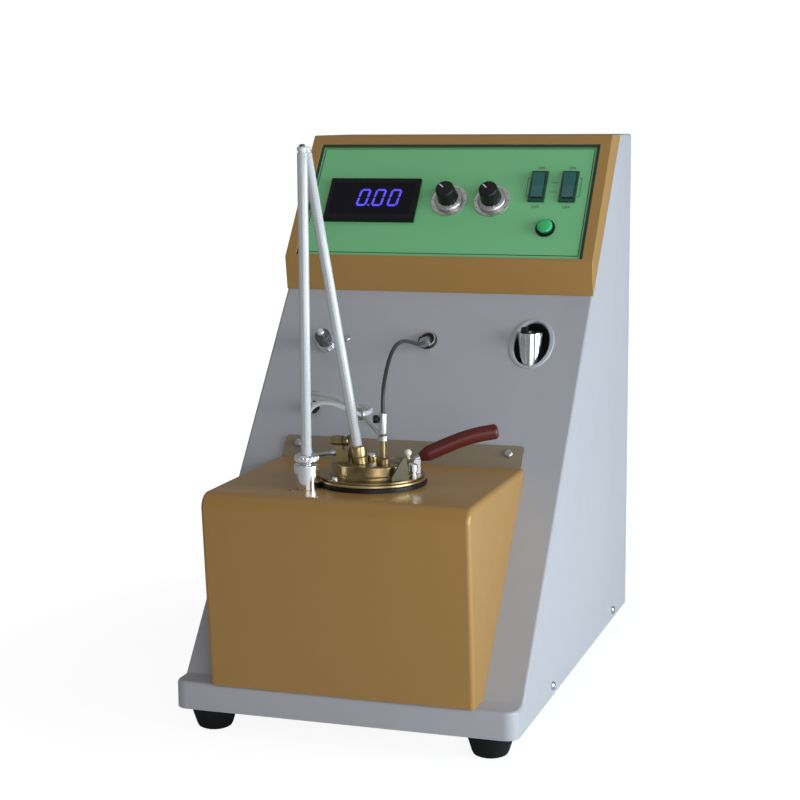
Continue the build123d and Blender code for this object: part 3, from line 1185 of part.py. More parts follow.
# ------------------------------------------------------------- cords on the lid
BARB_END = slope_plane(BARB_X, BARB_UP, BARB_L).origin
HOSE_ROUTE = [
    tuple(BARB_END), tuple(BARB_END + SLOPE_OUT * 9), (-75.5, 141.5, 216.6), (-62.0, 131.0, 217.6),
    (-45.5, 119.0, 217.9), (-31.0, 108.0, 214.6), (-17.9, 98.0, 214.2), (-7.1, 88.0, 215.3),
    (-1.0, 78.0, 215.1), (-2.3, 69.0, 214.0), (-8.1, 61.5, 214.9), (-16.0, 56.5, 220.1),
    (-24.2, 52.5, 223.6), (-31.5, 50.0, 224.4), (-38.0, 48.0, 220.0), (-40.6, 46.9, 212.5),
    (-39.9, 46.4, 205.0), (ELBOW_X, ELBOW_Y, 198.0), (ELBOW_X, ELBOW_Y, ELBOW_Z + ELBOW_H),
]


STAY_Z = 199.0
STAY_R = 1.2
STAY_RUN = 9            # run of the hose's route that the stay's eye goes round
STAY_COLLAR_R, STAY_COLLAR_H = 3.6, 3.4


def hose_stay():
    """Wire stay: a collar on the bearing tube, a wire, and an eye round the hose."""
    seat = upright(STIR_X, STIR_Y, STAY_Z)
    before, after = Vector(*HOSE_ROUTE[STAY_RUN]), Vector(*HOSE_ROUTE[STAY_RUN + 1])
    centre = (before + after) * 0.5
    eye_r = HOSE_D / 2 + STAY_R + EASE
    start = seat.offset(STAY_COLLAR_H / 2).origin
    line = (centre - start).normalized()
    body = rod(seat, STAY_COLLAR_R, STAY_COLLAR_H) + bar_between(start, centre - line * eye_r, STAY_R)
    body += Plane(centre, z_dir=after - before) * Torus(eye_r, STAY_R)
    body -= hole(seat, STIR_TUBE_R + RUN)
    return body - bar_between(before, after, HOSE_D / 2 + EASE)


def flexible_shaft():
    """Flexible drive shaft from the socket on the slope down to the stirrer."""
    return cord(DRIVE_ROUTE, SHAFT_D, "flexible_shaft")


def gas_hose():
    """Clear gas hose from its barb, in one loose loop, down to the burner's elbow."""
    return cord(HOSE_ROUTE, HOSE_D, "gas_hose")


# ---------------------------------------------------------------- inside parts
TRANSFORMER_Y = 255.0
CORE_W, CORE_D, CORE_H = 66.0, 40.0, 56.0
COIL_W, COIL_D, COIL_H, COIL_UP = 40.0, 62.0, 32.0, 12.0
MOUNT_W, MOUNT_T = 84.0, 2.0
CORE_EDGE = 3.0
BOARD_X, BOARD_Y, BOARD_UP = -38.0, 322.0, 10.0
BOARD_W, BOARD_D, BOARD_T = 130.0, 84.0, 1.6
PILLAR_R, PILLAR_IN = 3.0, 7.0
# middle across and along the board, then width, depth and height
COMPONENTS = ((-38.0, 8.0, 24.0, 30.0, 18.0), (0.0, 14.0, 16.0, 16.0, 22.0), (30.0, -12.0, 34.0, 12.0, 9.0),
              (38.0, 20.0, 14.0, 10.0, 14.0))


def transformer():
    """Mains transformer on the floor of the housing."""
    seat = upright(0, TRANSFORMER_Y, SHEET)
    core = block(seat, CORE_W, CORE_D, CORE_H) + block(seat, MOUNT_W, CORE_D, MOUNT_T)
    core = fillet(core.edges().filter_by(Axis.Y).group_by(Axis.Z)[-1], CORE_EDGE)
    return core + block(seat, COIL_W, COIL_D, COIL_H, COIL_UP)


def control_board():
    """Circuit board on four pillars, with its larger components."""
    floor = upright(BOARD_X, BOARD_Y, SHEET)
    board = block(floor, BOARD_W, BOARD_D, BOARD_T, BOARD_UP)
    across, along = BOARD_W / 2 - PILLAR_IN, BOARD_D / 2 - PILLAR_IN
    for x, y in ((-across, -along), (-across, along), (across, -along), (across, along)):
        board += rod(upright(BOARD_X + x, BOARD_Y + y, SHEET), PILLAR_R, BOARD_UP)
    top = SHEET + BOARD_UP + BOARD_T
    for x, y, width, depth, height in COMPONENTS:
        board += block(upright(BOARD_X + x, BOARD_Y + y, top), width, depth, height)
    return board


# ---------------------------------------------------------------------- saving
MID_Y = (BOX_FRONT_Y + HOUSING_D + NOZZLE_OUT) / 2


def save(name, *pieces):
    """Move a piece, or a group of like pieces, to the bench frame and write it."""
    solids = [solid for piece in pieces for solid in piece.solids()]
    shape = solids[0] if len(solids) == 1 else Compound(solids)
    export_step(Pos(0, -MID_Y, FOOT_H) * shape, f"parts/{name}.step")


def foot_screw(x, y):
    """Screw up through a foot into the floor."""
    seat = Plane((x, y, FOOT_SCREW_UP - FOOT_H), z_dir=(0, 0, -1))
    return screw(seat, FOOT_SCREW_HEAD_R, 1.8, FOOT_H - FOOT_SCREW_UP + SHEET + 1)


case_screws = [foot_screw(x, y) for x, y in FOOT_SPOTS]
case_screws += [screw(spot) for spot in SIDE_SCREWS + COVER_SCREWS + UPSTAND_SCREWS + [STAY_DOT]]

save("housing_shell", housing_shell())
save("base_plate", base_plate())
save("rear_cover", rear_cover())
save("feet", *[foot(x, y) for x, y in FOOT_SPOTS])
save("case_screws", *case_screws)
save("console_shell", console_shell())
save("control_panel", control_panel())
save("meter_case", meter_case())
save("meter_window", meter_window())
save("dial_plates", *[dial_plate(x) for x in KNOB_XS])
save("potentiometers", *[piece(x) for x in KNOB_XS for piece in (potentiometer, pot_nut)])
save("heat_knob", knob(KNOB_XS[0]))
save("stir_knob", knob(KNOB_XS[1]))
save("mains_switch", switch_body(SWITCH_XS[0]))
save("lamp_switch", switch_body(SWITCH_XS[1]))
save("mains_rocker", rocker(SWITCH_XS[0]))
save("lamp_rocker", rocker(SWITCH_XS[1]))
for piece in (button_body, button_cap, socket_ring, drive_nipple, stirrer_motor, lamp_can, lamp_cap,
              gas_valve, valve_knob, hose_barb, gas_nozzle, mains_inlet, bath_box, bath_collar,
              bath_tank, bath_heater, air_chamber, thermometer_bush, gland_nut, bath_thermometer,
              test_cup, lid, clamp_screw, stop_bracket, thermometer_ferrule, cup_thermometer,
              stirrer_bearing, stirrer, drive_ferrule, ferrule_screw, hose_stay, burner_post, burner,
              shutter, handle_bracket, handle, flexible_shaft, gas_hose, transformer, control_board):
    save(piece.__name__, piece())
save("lid_screws", *lid_screws())
save("gas_lines", *gas_lines())
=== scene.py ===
# %% [markdown]
# # A closed-cup flash point tester
# The CAD model gives every piece its shape and its place. This lesson gives each piece its looks: soft
# edges, paint, brass, chrome, rubber and glass, the printing on the control panel and the two cords.
# Every object is in metres in the CAD's own frame, so nothing has to be fitted by eye.

# %% Load the frame
import json
from math import cos, pi, radians, sin, tan

import bmesh
import bpy
from mathutils import Matrix, Vector

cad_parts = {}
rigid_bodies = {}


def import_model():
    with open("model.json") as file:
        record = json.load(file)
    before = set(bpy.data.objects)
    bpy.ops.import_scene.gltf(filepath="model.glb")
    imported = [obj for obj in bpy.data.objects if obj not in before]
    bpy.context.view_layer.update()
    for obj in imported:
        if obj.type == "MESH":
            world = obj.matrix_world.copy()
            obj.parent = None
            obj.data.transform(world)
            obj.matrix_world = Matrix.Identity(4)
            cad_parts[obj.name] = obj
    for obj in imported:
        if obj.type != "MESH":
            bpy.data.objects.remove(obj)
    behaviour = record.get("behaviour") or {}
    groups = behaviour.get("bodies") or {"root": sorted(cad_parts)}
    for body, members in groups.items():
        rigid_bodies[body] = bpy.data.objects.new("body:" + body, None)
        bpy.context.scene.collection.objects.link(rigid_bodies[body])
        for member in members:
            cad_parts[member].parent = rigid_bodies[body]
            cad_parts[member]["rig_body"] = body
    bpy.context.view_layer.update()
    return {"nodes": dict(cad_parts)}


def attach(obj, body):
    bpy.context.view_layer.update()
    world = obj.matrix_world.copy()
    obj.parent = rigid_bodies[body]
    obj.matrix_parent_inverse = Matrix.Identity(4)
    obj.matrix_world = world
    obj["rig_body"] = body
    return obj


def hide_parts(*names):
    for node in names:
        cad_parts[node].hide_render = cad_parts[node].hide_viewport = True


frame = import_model()

# %% [markdown]
# ## Millimetres on the housing
# The CAD draws the tester in millimetres from the front of its lip and the underside of its housing. A
# small helper turns such a point into the bench frame, so that sizes here read as they do in the CAD.

# %% A point on the housing
MM = 0.001
MID_Y = 195.2           # depth of the origin behind the front of the lip
FOOT_H = 17.5           # height of the housing above the bench


def spot(x, y, z):
    """Bench-frame point of a point in the housing's millimetres."""
    return Vector((x, y - MID_Y, z + FOOT_H)) * MM


print("front of the lip", spot(0, 0, 0))

# %% [markdown]
# ## The camera
# A long lens a little to the right of the tester and above it keeps the upright edges nearly parallel.
# The turns are made in order: round the upright axis, down towards the tester, then a slight roll.

# %% The camera
LENS, SENSOR = 82.29, 36.0
YAW, PITCH, ROLL = radians(18.101), radians(8.829), radians(-0.346)

camera = bpy.data.objects.new("camera", bpy.data.cameras.new("camera"))
camera.data.lens, camera.data.sensor_width = LENS, SENSOR
camera.matrix_world = (Matrix.Translation((0.432465, -1.375761, 0.447222)) @ Matrix.Rotation(YAW, 4, "Z")
                       @ Matrix.Rotation(radians(90) - PITCH, 4, "X") @ Matrix.Rotation(ROLL, 4, "Z"))
bpy.context.scene.collection.objects.link(camera)
bpy.context.scene.camera = camera
bpy.context.scene.view_settings.view_transform = "Standard"
print("camera at", camera.location)

# %% [markdown]
# ## Shader maths as plain sums
# A finish is a node tree: textures that vary the colour, the roughness and the fine relief of a surface.
# Wiring nodes by hand is slow to read, so a socket is wrapped in a small class whose sums and products
# add Math nodes. Colours and vectors go through nodes of their own, because Math turns a colour grey.

# %% A value in a finish
class Value:
    """What one socket gives; sums, products and comparisons on it add Math nodes."""

    def __init__(self, finish, socket):
        self.finish, self.socket = finish, socket

    def math(self, operation, first, second=0.0):
        return self.finish.node("ShaderNodeMath", {"operation": operation}, {0: first, 1: second})

    def __add__(self, other):
        return self.math("ADD", self, other)

    def __radd__(self, other):
        return self.math("ADD", other, self)

    def __sub__(self, other):
        return self.math("SUBTRACT", self, other)

    def __rsub__(self, other):
        return self.math("SUBTRACT", other, self)

    def __mul__(self, other):
        return self.math("MULTIPLY", self, other)

    def __rmul__(self, other):
        return self.math("MULTIPLY", other, self)

    def __gt__(self, other):
        return self.math("GREATER_THAN", self, other)


# %% [markdown]
# ## A finish
# One class makes a material, sets what is the same all over on the shader itself and feeds only what
# varies. Its textures read Object coordinates: the pieces sit at the origin, so a pattern has one scale
# all over the tester and stays put when a piece moves.

# %% The finish class
class Finish:
    """A procedural material of the tester."""

    def __init__(self, name, **fixed):
        self.material = bpy.data.materials.new(name)
        self.material.use_nodes = True
        self.tree = self.material.node_tree
        self.shader = self.tree.nodes["Principled BSDF"]
        self.give(**fixed)

    def feed(self, socket, value):
        if isinstance(value, Value):
            self.tree.links.new(value.socket, socket)
        elif isinstance(value, tuple) and len(value) == 3 and len(socket.default_value) == 4:
            socket.default_value = (*value, 1.0)
        else:
            socket.default_value = value

    def give(self, **values):
        for name, value in values.items():
            self.feed(self.shader.inputs[name.replace("_", " ")], value)
        return self

    def node(self, kind, settings=None, sockets=None, out=0):
        node = self.tree.nodes.new(kind)
        for name, value in (settings or {}).items():
            if name == "stops":
                ramp = node.color_ramp
                while len(ramp.elements) < len(value):
                    ramp.elements.new(1.0)
                for element, (at, colour) in zip(ramp.elements, value):
                    element.position, element.color = at, (*colour, 1.0)
            else:
                setattr(node, name, value)
        for name, value in (sockets or {}).items():
            self.feed(node.inputs[name], value)
        return Value(self, node.outputs[out])

    def place(self, centre=(0, 0, 0), turn=(0, 0, 0), scale=(1, 1, 1)):
        coords = self.node("ShaderNodeTexCoord", out="Object")
        return self.node("ShaderNodeMapping", {"vector_type": "TEXTURE"},
                         {"Vector": coords, "Location": centre, "Rotation": turn, "Scale": scale})

    def noise(self, scale, detail=2.0, place=None):
        return self.node("ShaderNodeTexNoise", {},
                         {"Vector": place or self.place(), "Scale": scale, "Detail": detail})

    def ramp(self, value, *stops):
        return self.node("ShaderNodeValToRGB", {"stops": stops}, {"Fac": value})

    def blend(self, mask, first, second):
        return self.node("ShaderNodeMix", {"data_type": "RGBA"}, {0: mask, 6: first, 7: second}, out=2)

    def relief(self, height, depth_mm, strength=1.0):
        return self.give(Normal=self.node("ShaderNodeBump", {}, {"Height": height, "Strength": strength,
                                                                 "Distance": depth_mm * MM}))


def between(low, high, value):
    """Value stretched from 0-1 to low-high."""
    return low + (high - low) * value


# %% [markdown]
# ## Painted sheet metal
# The housing is stoved enamel, grey-blue, with the faint orange peel that spraying leaves. The console and
# the bath box are a bronze-gold enamel with metal flake in it. Both get a slow drift of colour, a little
# unevenness in their gloss and a fine relief, so that a highlight breaks up as it does on real paint.

# %% Paints
def enamel(name, colour, deep, rough, flake=0.0, metal=0.0, coat=0.0):
    """Sprayed enamel with orange peel, and metal flake where flake is above 0."""
    paint = Finish(name, Coat_Weight=coat, Coat_Roughness=0.12, Metallic=metal)
    drift = paint.noise(9.0, 4.0)
    peel = paint.noise(900.0, 1.0)
    body = paint.blend(drift, colour, deep)
    if flake:
        sparkle = paint.node("ShaderNodeTexVoronoi", {}, {"Vector": paint.place(), "Scale": 5200.0}, out=1)
        grain = paint.node("ShaderNodeSeparateColor", {}, {0: sparkle})
        body = paint.blend(grain * flake, body, tuple(min(1.0, c * 1.6) for c in colour))
    paint.give(Base_Color=body, Roughness=between(rough - 0.05, rough + 0.07, paint.noise(40.0, 3.0)))
    return paint.relief(peel, 0.02, 0.35)


grey_enamel = enamel("grey_enamel", (0.40, 0.405, 0.437), (0.365, 0.37, 0.40), 0.42)
gold_enamel = enamel("gold_enamel", (0.36, 0.196, 0.05), (0.325, 0.175, 0.043), 0.38,
                     flake=0.08, metal=0.05, coat=0.2)
panel_green = enamel("panel_green", (0.175, 0.51, 0.225), (0.16, 0.48, 0.21), 0.42)
board_green = enamel("board_green", (0.02, 0.13, 0.05), (0.015, 0.10, 0.04), 0.35)
# Painted shade and painted reflection: the upstand's darker, greyer colour stands for the shade on it and the
# grey slope mirrored in its gloss.
upstand_shade_and_reflection = enamel("upstand_shade_and_reflection", (0.235, 0.19, 0.13), (0.21, 0.165, 0.11), 0.42)
stop_olive = enamel("stop_olive", (0.125, 0.11, 0.065), (0.075, 0.065, 0.04), 0.38, metal=0.4)
print("paints", grey_enamel.material.name, gold_enamel.material.name, panel_green.material.name)

# %% [markdown]
# ## Metals
# Brass turned on a lathe keeps fine rings round its axis, and it tarnishes unevenly where fingers and
# heat reach it. The rings are a wave of the distance from the cup's axis, and the tarnish is a soft
# noise that darkens the metal and dulls it. Chrome and steel need less: a few smudges in their gloss.

# %% Metals
CUP_X, CUP_Y = 5.5, 58.3
CUP = spot(CUP_X, CUP_Y, 0)


def turned_brass(name, bright, tarnish, amount, centre=CUP):
    """Lathe-turned brass with rings round an upright axis and uneven tarnish."""
    metal = Finish(name, Metallic=1.0)
    cloud = metal.noise(60.0, 5.0)
    stain = metal.ramp(cloud, (0.62 - amount * 0.3, (0, 0, 0)), (0.95 - amount * 0.3, (1, 1, 1)))
    place = metal.place(centre=tuple(centre))
    rings = metal.node("ShaderNodeTexWave", {"wave_type": "RINGS", "rings_direction": "Z"},
                       {"Vector": place, "Scale": 900.0, "Distortion": 0.6, "Detail": 1.0})
    metal.give(Base_Color=metal.blend(stain, bright, tarnish),
               Roughness=between(0.2, 0.42, metal.noise(130.0, 3.0)))
    return metal.relief(rings, 0.008, 0.5)


def plated(name, colour, rough, spread, scale=50.0):
    """Plated or ground metal with smudges in its gloss."""
    metal = Finish(name, Metallic=1.0)
    smudge = metal.noise(scale, 4.0)
    metal.give(Base_Color=metal.blend(smudge, colour, tuple(c * 0.86 for c in colour)),
               Roughness=between(rough, rough + spread, smudge))
    return metal.relief(metal.noise(1500.0, 1.0), 0.004, 0.3)


lid_brass = turned_brass("lid_brass", (0.36, 0.27, 0.13), (0.09, 0.06, 0.03), 0.62)
cup_brass = turned_brass("cup_brass", (0.62, 0.47, 0.24), (0.28, 0.18, 0.08), 0.35)
chrome = plated("chrome", (0.86, 0.87, 0.89), 0.06, 0.10)
steel = plated("steel", (0.55, 0.55, 0.56), 0.22, 0.18)
copper = plated("copper", (0.72, 0.36, 0.22), 0.25, 0.2)
aluminium = plated("aluminium", (0.62, 0.62, 0.61), 0.28, 0.16, 200.0)
iron = plated("iron", (0.20, 0.20, 0.21), 0.4, 0.2)
print("metals", lid_brass.material.name, chrome.material.name)

# %% [markdown]
# ## Plastics, rubber and glass
# Moulded pieces are nearly black with a satin skin, and rubber is duller with a fine pebble. The stems of
# the thermometers are enamel-backed glass, white behind a clear lens, and the gas hose is a clear vinyl.

# %% Plastics, rubber and glass
def moulded(name, colour, rough, grain=0.01, grain_scale=1800.0, **more):
    """Moulded plastic or rubber with a fine grain."""
    plastic = Finish(name, **more)
    shade = plastic.noise(25.0, 3.0)
    plastic.give(Base_Color=plastic.blend(shade, colour, tuple(c * 0.78 for c in colour)),
                 Roughness=between(rough - 0.04, rough + 0.08, plastic.noise(90.0, 3.0)))
    return plastic.relief(plastic.noise(grain_scale, 1.0), grain, 0.5)


rubber = moulded("rubber", (0.006, 0.006, 0.007), 0.62, 0.03, 1200.0, Specular_IOR_Level=0.2)
black_plastic = moulded("black_plastic", (0.006, 0.006, 0.007), 0.36, Specular_IOR_Level=0.3)
smoke_plastic = moulded("smoke_plastic", (0.085, 0.085, 0.095), 0.28)
sheath_grey = moulded("sheath_grey", (0.030, 0.030, 0.034), 0.45)
gloss_black = moulded("gloss_black", (0.005, 0.005, 0.006), 0.2, 0.002, Specular_IOR_Level=0.2)
meter_face = moulded("meter_face", (0.003, 0.002, 0.008), 0.2, 0.001, Specular_IOR_Level=0.15)
rocker_green = moulded("rocker_green", (0.025, 0.12, 0.11), 0.20, 0.002, Coat_Weight=0.2)
bezel_green = moulded("bezel_green", (0.008, 0.05, 0.035), 0.22, 0.002)
button_green = moulded("button_green", (0.03, 0.50, 0.16), 0.30, 0.002, Coat_Weight=0.3)
# Painted shade: the button's sides in a darker copy of its green.
button_side_shade = moulded("button_side_shade", (0.01, 0.12, 0.045), 0.32, 0.002)
handle_brown = moulded("handle_brown", (0.095, 0.013, 0.010), 0.34, 0.002, Specular_IOR_Level=0.3)
ball_white = moulded("ball_white", (0.72, 0.70, 0.62), 0.22, 0.002, Coat_Weight=0.3)
clear_hose = moulded("clear_hose", (0.80, 0.83, 0.84), 0.16, 0.004, Transmission_Weight=0.55, IOR=1.42)
dot_red = moulded("dot_red", (0.45, 0.02, 0.02), 0.30, 0.004)

milk_glass = Finish("milk_glass", Coat_Weight=0.4, Coat_Roughness=0.05)
edge_on = milk_glass.node("ShaderNodeLayerWeight", {}, {"Blend": 0.35}, out=1)
milk_glass.give(Base_Color=milk_glass.blend(edge_on, (0.53, 0.555, 0.56), (0.47, 0.49, 0.53)),
                Roughness=between(0.06, 0.14, milk_glass.noise(80.0)))
print("plastics", black_plastic.material.name, milk_glass.material.name)

# %% [markdown]
# ## Inks and light
# Printed lines and the lit digits are thin solid shapes laid on what carries them, so they stay sharp at
# any distance. The digits give off their own light; a soft noise keeps a segment from being one flat tone.

# %% Inks
# The dark ink also colours the strip of painted shadow inside the console's frame.
dark_ink_and_shadow = moulded("dark_ink_and_shadow", (0.012, 0.05, 0.03), 0.5, 0.001)
white_ink = moulded("white_ink", (0.75, 0.76, 0.76), 0.45, 0.001)
digit_glow = Finish("digit_glow", Roughness=0.3, Emission_Strength=1.0)
surface = digit_glow.blend(digit_glow.noise(400.0), (0.05, 0.04, 0.4), (0.08, 0.06, 0.6))
glow = digit_glow.blend(digit_glow.noise(300.0), (0.05, 0.035, 0.62), (0.09, 0.06, 0.80))
digit_glow.give(Base_Color=surface, Emission_Color=glow)
print("inks", dark_ink_and_shadow.material.name, digit_glow.material.name)

# %% [markdown]
# ## Putting a piece on the tester
# A finished mesh becomes an object at the origin that rides on a CAD body. Faces that meet gently are
# shaded as one surface, and only true corners stay sharp.

# %% Settle a piece
def settle(name, shape, finish, body, stands_for=(), smooth=32.0):
    """Make a piece of a bmesh and put it on its body."""
    mesh = bpy.data.meshes.new(name)
    shape.to_mesh(mesh)
    shape.free()
    mesh.materials.append(finish.material)
    mesh.shade_smooth()
    mesh.set_sharp_from_angle(angle=radians(smooth))
    piece = bpy.data.objects.new(name, mesh)
    bpy.context.scene.collection.objects.link(piece)
    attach(piece, body)
    if stands_for:
        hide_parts(*stands_for)
    print(name, "faces", len(mesh.polygons))
    return piece


# %% [markdown]
# ## Carrying a CAD piece over
# Real sheet metal and turned brass never have a knife edge, and it is the small highlight along an edge
# that makes metal look like metal. A CAD mesh is loose triangles, so a copy is merged, its flat faces are
# joined again and a bevel modifier rounds every corner by a few tenths of a millimetre.

# %% Dress a CAD node
def dress(node, name, finish, edge=0.3):
    """A merged copy of a CAD node with softened edges, in its finish."""
    source = frame["nodes"][node]
    shape = bmesh.new()
    shape.from_mesh(source.data)
    bmesh.ops.remove_doubles(shape, verts=shape.verts, dist=0.002 * MM)
    bmesh.ops.dissolve_limit(shape, angle_limit=radians(0.6), verts=shape.verts, edges=shape.edges)
    piece = settle(name, shape, finish, source["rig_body"], [node])
    if edge:
        soft = piece.modifiers.new("soft_edge", "BEVEL")
        soft.width, soft.segments, soft.limit_method, soft.angle_limit = edge * MM, 2, "ANGLE", radians(35)
        soft.harden_normals = True
    return piece


for node, name, finish, slot_name, edge in (
        ("housing_shell", "grey_housing", grey_enamel, "painted_grey", 0.4),
        ("rear_cover", "grey_back", grey_enamel, "painted_grey", 0.3),
        ("console_shell", "gold_console", gold_enamel, "painted_gold", 0.5),
        ("bath_box", "gold_bath_box", gold_enamel, "painted_gold", 0.3),
        ("base_plate", "floor_plate", steel, "steel", 0.2),
        ("feet", "rubber_feet", rubber, "rubber", 0.5),
        ("control_panel", "green_panel", panel_green, "panel_green", 0.0),
        ("meter_case", "meter_bezel", gloss_black, "gloss_black", 0.2),
        ("meter_window", "meter_glass", meter_face, "meter_face", 0.0),
        ("dial_plates", "silver_dials", aluminium, "aluminium", 0.15),
        ("heat_knob", "heat_knob_cap", black_plastic, "black_plastic", 0.15),
        ("stir_knob", "stir_knob_cap", black_plastic, "black_plastic", 0.15),
        ("mains_switch", "mains_bezel", bezel_green, "gloss_black", 0.25),
        ("lamp_switch", "lamp_bezel", bezel_green, "gloss_black", 0.25),
        ("mains_rocker", "mains_key", rocker_green, "rocker_green", 0.25),
        ("lamp_rocker", "lamp_key", rocker_green, "rocker_green", 0.25),
        ("button_body", "button_collar", gloss_black, "gloss_black", 0.25),
        ("button_cap", "green_button", button_green, "button_green", 0.3),
        ("socket_ring", "black_socket", black_plastic, "black_plastic", 0.2),
        ("drive_nipple", "nipple_tube", steel, "steel", 0.15),
        ("lamp_can", "lamp_shroud", chrome, "chrome", 0.2),
        ("lamp_cap", "lamp_holder", black_plastic, "black_plastic", 0.3),
        ("gas_valve", "valve_collar", chrome, "chrome", 0.15),
        ("valve_knob", "valve_grip", smoke_plastic, "black_plastic", 0.15),
        ("hose_barb", "barb_fitting", steel, "steel", 0.15),
        ("gas_nozzle", "brass_nozzle", cup_brass, "brass", 0.3),
        ("mains_inlet", "inlet_socket", black_plastic, "black_plastic", 0.3),
        ("bath_collar", "black_collar", black_plastic, "black_plastic", 0.3),
        ("air_chamber", "chamber_sleeve", cup_brass, "brass", 0.2),
        ("thermometer_bush", "chrome_bush", chrome, "chrome", 0.25),
        ("gland_nut", "knurled_gland", chrome, "chrome", 0.15),
        ("test_cup", "brass_cup", cup_brass, "brass", 0.15),
        ("lid", "brass_lid", lid_brass, "brass", 0.2),
        ("clamp_screw", "clamp_thumbscrew", chrome, "chrome", 0.15),
        ("stop_bracket", "stop_plate", stop_olive, "painted_grey", 0.3),
        ("thermometer_ferrule", "brass_ferrule", lid_brass, "brass", 0.2),
        ("stirrer_bearing", "stirrer_column", lid_brass, "brass", 0.15),
        ("stirrer", "stirrer_blades", steel, "steel", 0.08),
        ("drive_ferrule", "bright_ferrule", aluminium, "chrome", 0.2),
        ("ferrule_screw", "thumb_screw", black_plastic, "black_plastic", 0.2),
        ("hose_stay", "wire_stay", steel, "steel", 0.1),
        ("burner_post", "brass_post", lid_brass, "brass", 0.2),
        ("burner", "brass_burner", lid_brass, "brass", 0.2),
        ("shutter", "brass_shutter", lid_brass, "brass", 0.12),
        ("handle_bracket", "handle_lug", steel, "steel", 0.2),
        ("handle", "brown_handle", handle_brown, "handle_brown", 0.2),
        ("case_screws", "housing_screws", steel, "steel", 0.15),
        ("lid_screws", "flange_screws", chrome, "chrome", 0.1),
        ("bath_thermometer", "upright_stem", milk_glass, "milk_glass", 0.1),
        ("cup_thermometer", "leaning_stem", milk_glass, "milk_glass", 0.1)):
    dress(node, name, finish, edge)

# %% [markdown]
# ## One piece, two finishes
# A moulded knob may carry a bright cap, and a turned pipe may end in a black tip. Where the CAD has one
# solid, its faces are told apart by where they lie, and the second finish goes on those alone. The
# upstand of the bath box gets a darker, greyer olive in the same way, which is painted shade and painted
# reflection, and the sides of the green button get a darker green, which is painted shade. Planes on the
# console's face and on the slope make such places easy to name: X runs across, Y up and Z outwards.

# %% Tint part of a piece
FACE_FOOT, FACE_LEAN = (0, 234.566, 315.0), 36.89       # lower edge, and degrees from upright
SLOPE_FOOT, SLOPE_LEAN = (0, 22.0, 20.5), 39.11
PANEL_SUNK = 2.0                    # depth of the panel behind the console's face
KNOB_XS, KNOB_UP = (1.8, 38.4), 58.2        # middles of the knobs, across and up the panel
UPSTAND_UP = 189.0                  # distance up the slope where the box's upstand is flat
VALVE_X, VALVE_UP = -82.3, 290.5    # middles of the two gas fittings, across and up the slope
BARB_X, BARB_UP = -80.6, 231.0


def leaning(origin, lean):
    """Plane that leans back from upright: X across, Y up it and Z out of it."""
    return Matrix.Translation(origin) @ Matrix.Rotation(radians(90 - lean), 4, "X")


def on(plane, x=0.0, up=0.0, out=0.0, turn=0.0):
    """The plane moved along itself by millimetres and turned about its own Z."""
    return plane @ Matrix.Translation(Vector((x, up, out)) * MM) @ Matrix.Rotation(radians(turn), 4, "Z")


PANEL = on(leaning(spot(*FACE_FOOT), FACE_LEAN), out=-PANEL_SUNK)
SLOPE = leaning(spot(*SLOPE_FOOT), SLOPE_LEAN)


def tint(name, finish, plane, chosen):
    """Give a second finish to the faces whose middle, in the plane's millimetres, is chosen."""
    piece = bpy.data.objects[name]
    piece.data.materials.append(finish.material)
    inward = plane.inverted()
    count = 0
    for face in piece.data.polygons:
        if chosen(inward @ face.center / MM, inward.to_3x3() @ face.normal):
            face.material_index = len(piece.data.materials) - 1
            count += 1
    print(name, "faces in", finish.material.name, count)


HOUSING = Matrix.Translation(spot(0, 0, 0))
BALL = Matrix.Translation(spot(32.35, 61.12, 188.3))
tint("valve_grip", chrome, on(SLOPE, VALVE_X, VALVE_UP), lambda p, n: p.z > 15.95)
tint("barb_fitting", black_plastic, on(SLOPE, BARB_X, BARB_UP), lambda p, n: p.z < 4.1)
# Painted shade and painted reflection on the box's upstand.
tint("gold_bath_box", upstand_shade_and_reflection, SLOPE, lambda p, n: -0.2 < p.z < 1.9 and p.y > UPSTAND_UP)
# Painted shade on the sides of the green button.
tint("green_button", button_side_shade, PANEL, lambda p, n: n.z < 0.6)
tint("brass_post", steel, HOUSING, lambda p, n: p.x < -17.0)
tint("brass_post", black_plastic, HOUSING, lambda p, n: p.x < -34.0 and p.z < 186.0)
for name, x in zip(("heat_knob_cap", "stir_knob_cap"), KNOB_XS):
    tint(name, aluminium, on(PANEL, x, KNOB_UP), lambda p, n: p.z < 5.2 and p.xy.length > 9.2)
tint("brass_shutter", ball_white, BALL, lambda p, n: p.length < 3.2)

# %% [markdown]
# ## Inside the housing
# The pieces behind the sheet metal only show through the louvres and the openings. Their CAD shapes are
# right as they are, so they keep them and take a finish.

# %% Paint the inner nodes
for node, finish in (("potentiometers", steel), ("stirrer_motor", iron), ("gas_lines", copper),
                     ("bath_tank", copper), ("bath_heater", steel), ("transformer", iron),
                     ("control_board", board_green)):
    mesh = frame["nodes"][node].data
    mesh.materials.clear()
    mesh.materials.append(finish.material)
    print("painted", node)

# %% [markdown]
# ## The two cords
# The stirrer is driven through a flexible shaft, and the burner is fed through a clear hose. Each is one
# smooth spline on the control points that its CAD tube follows, with a round bevel for its thickness.

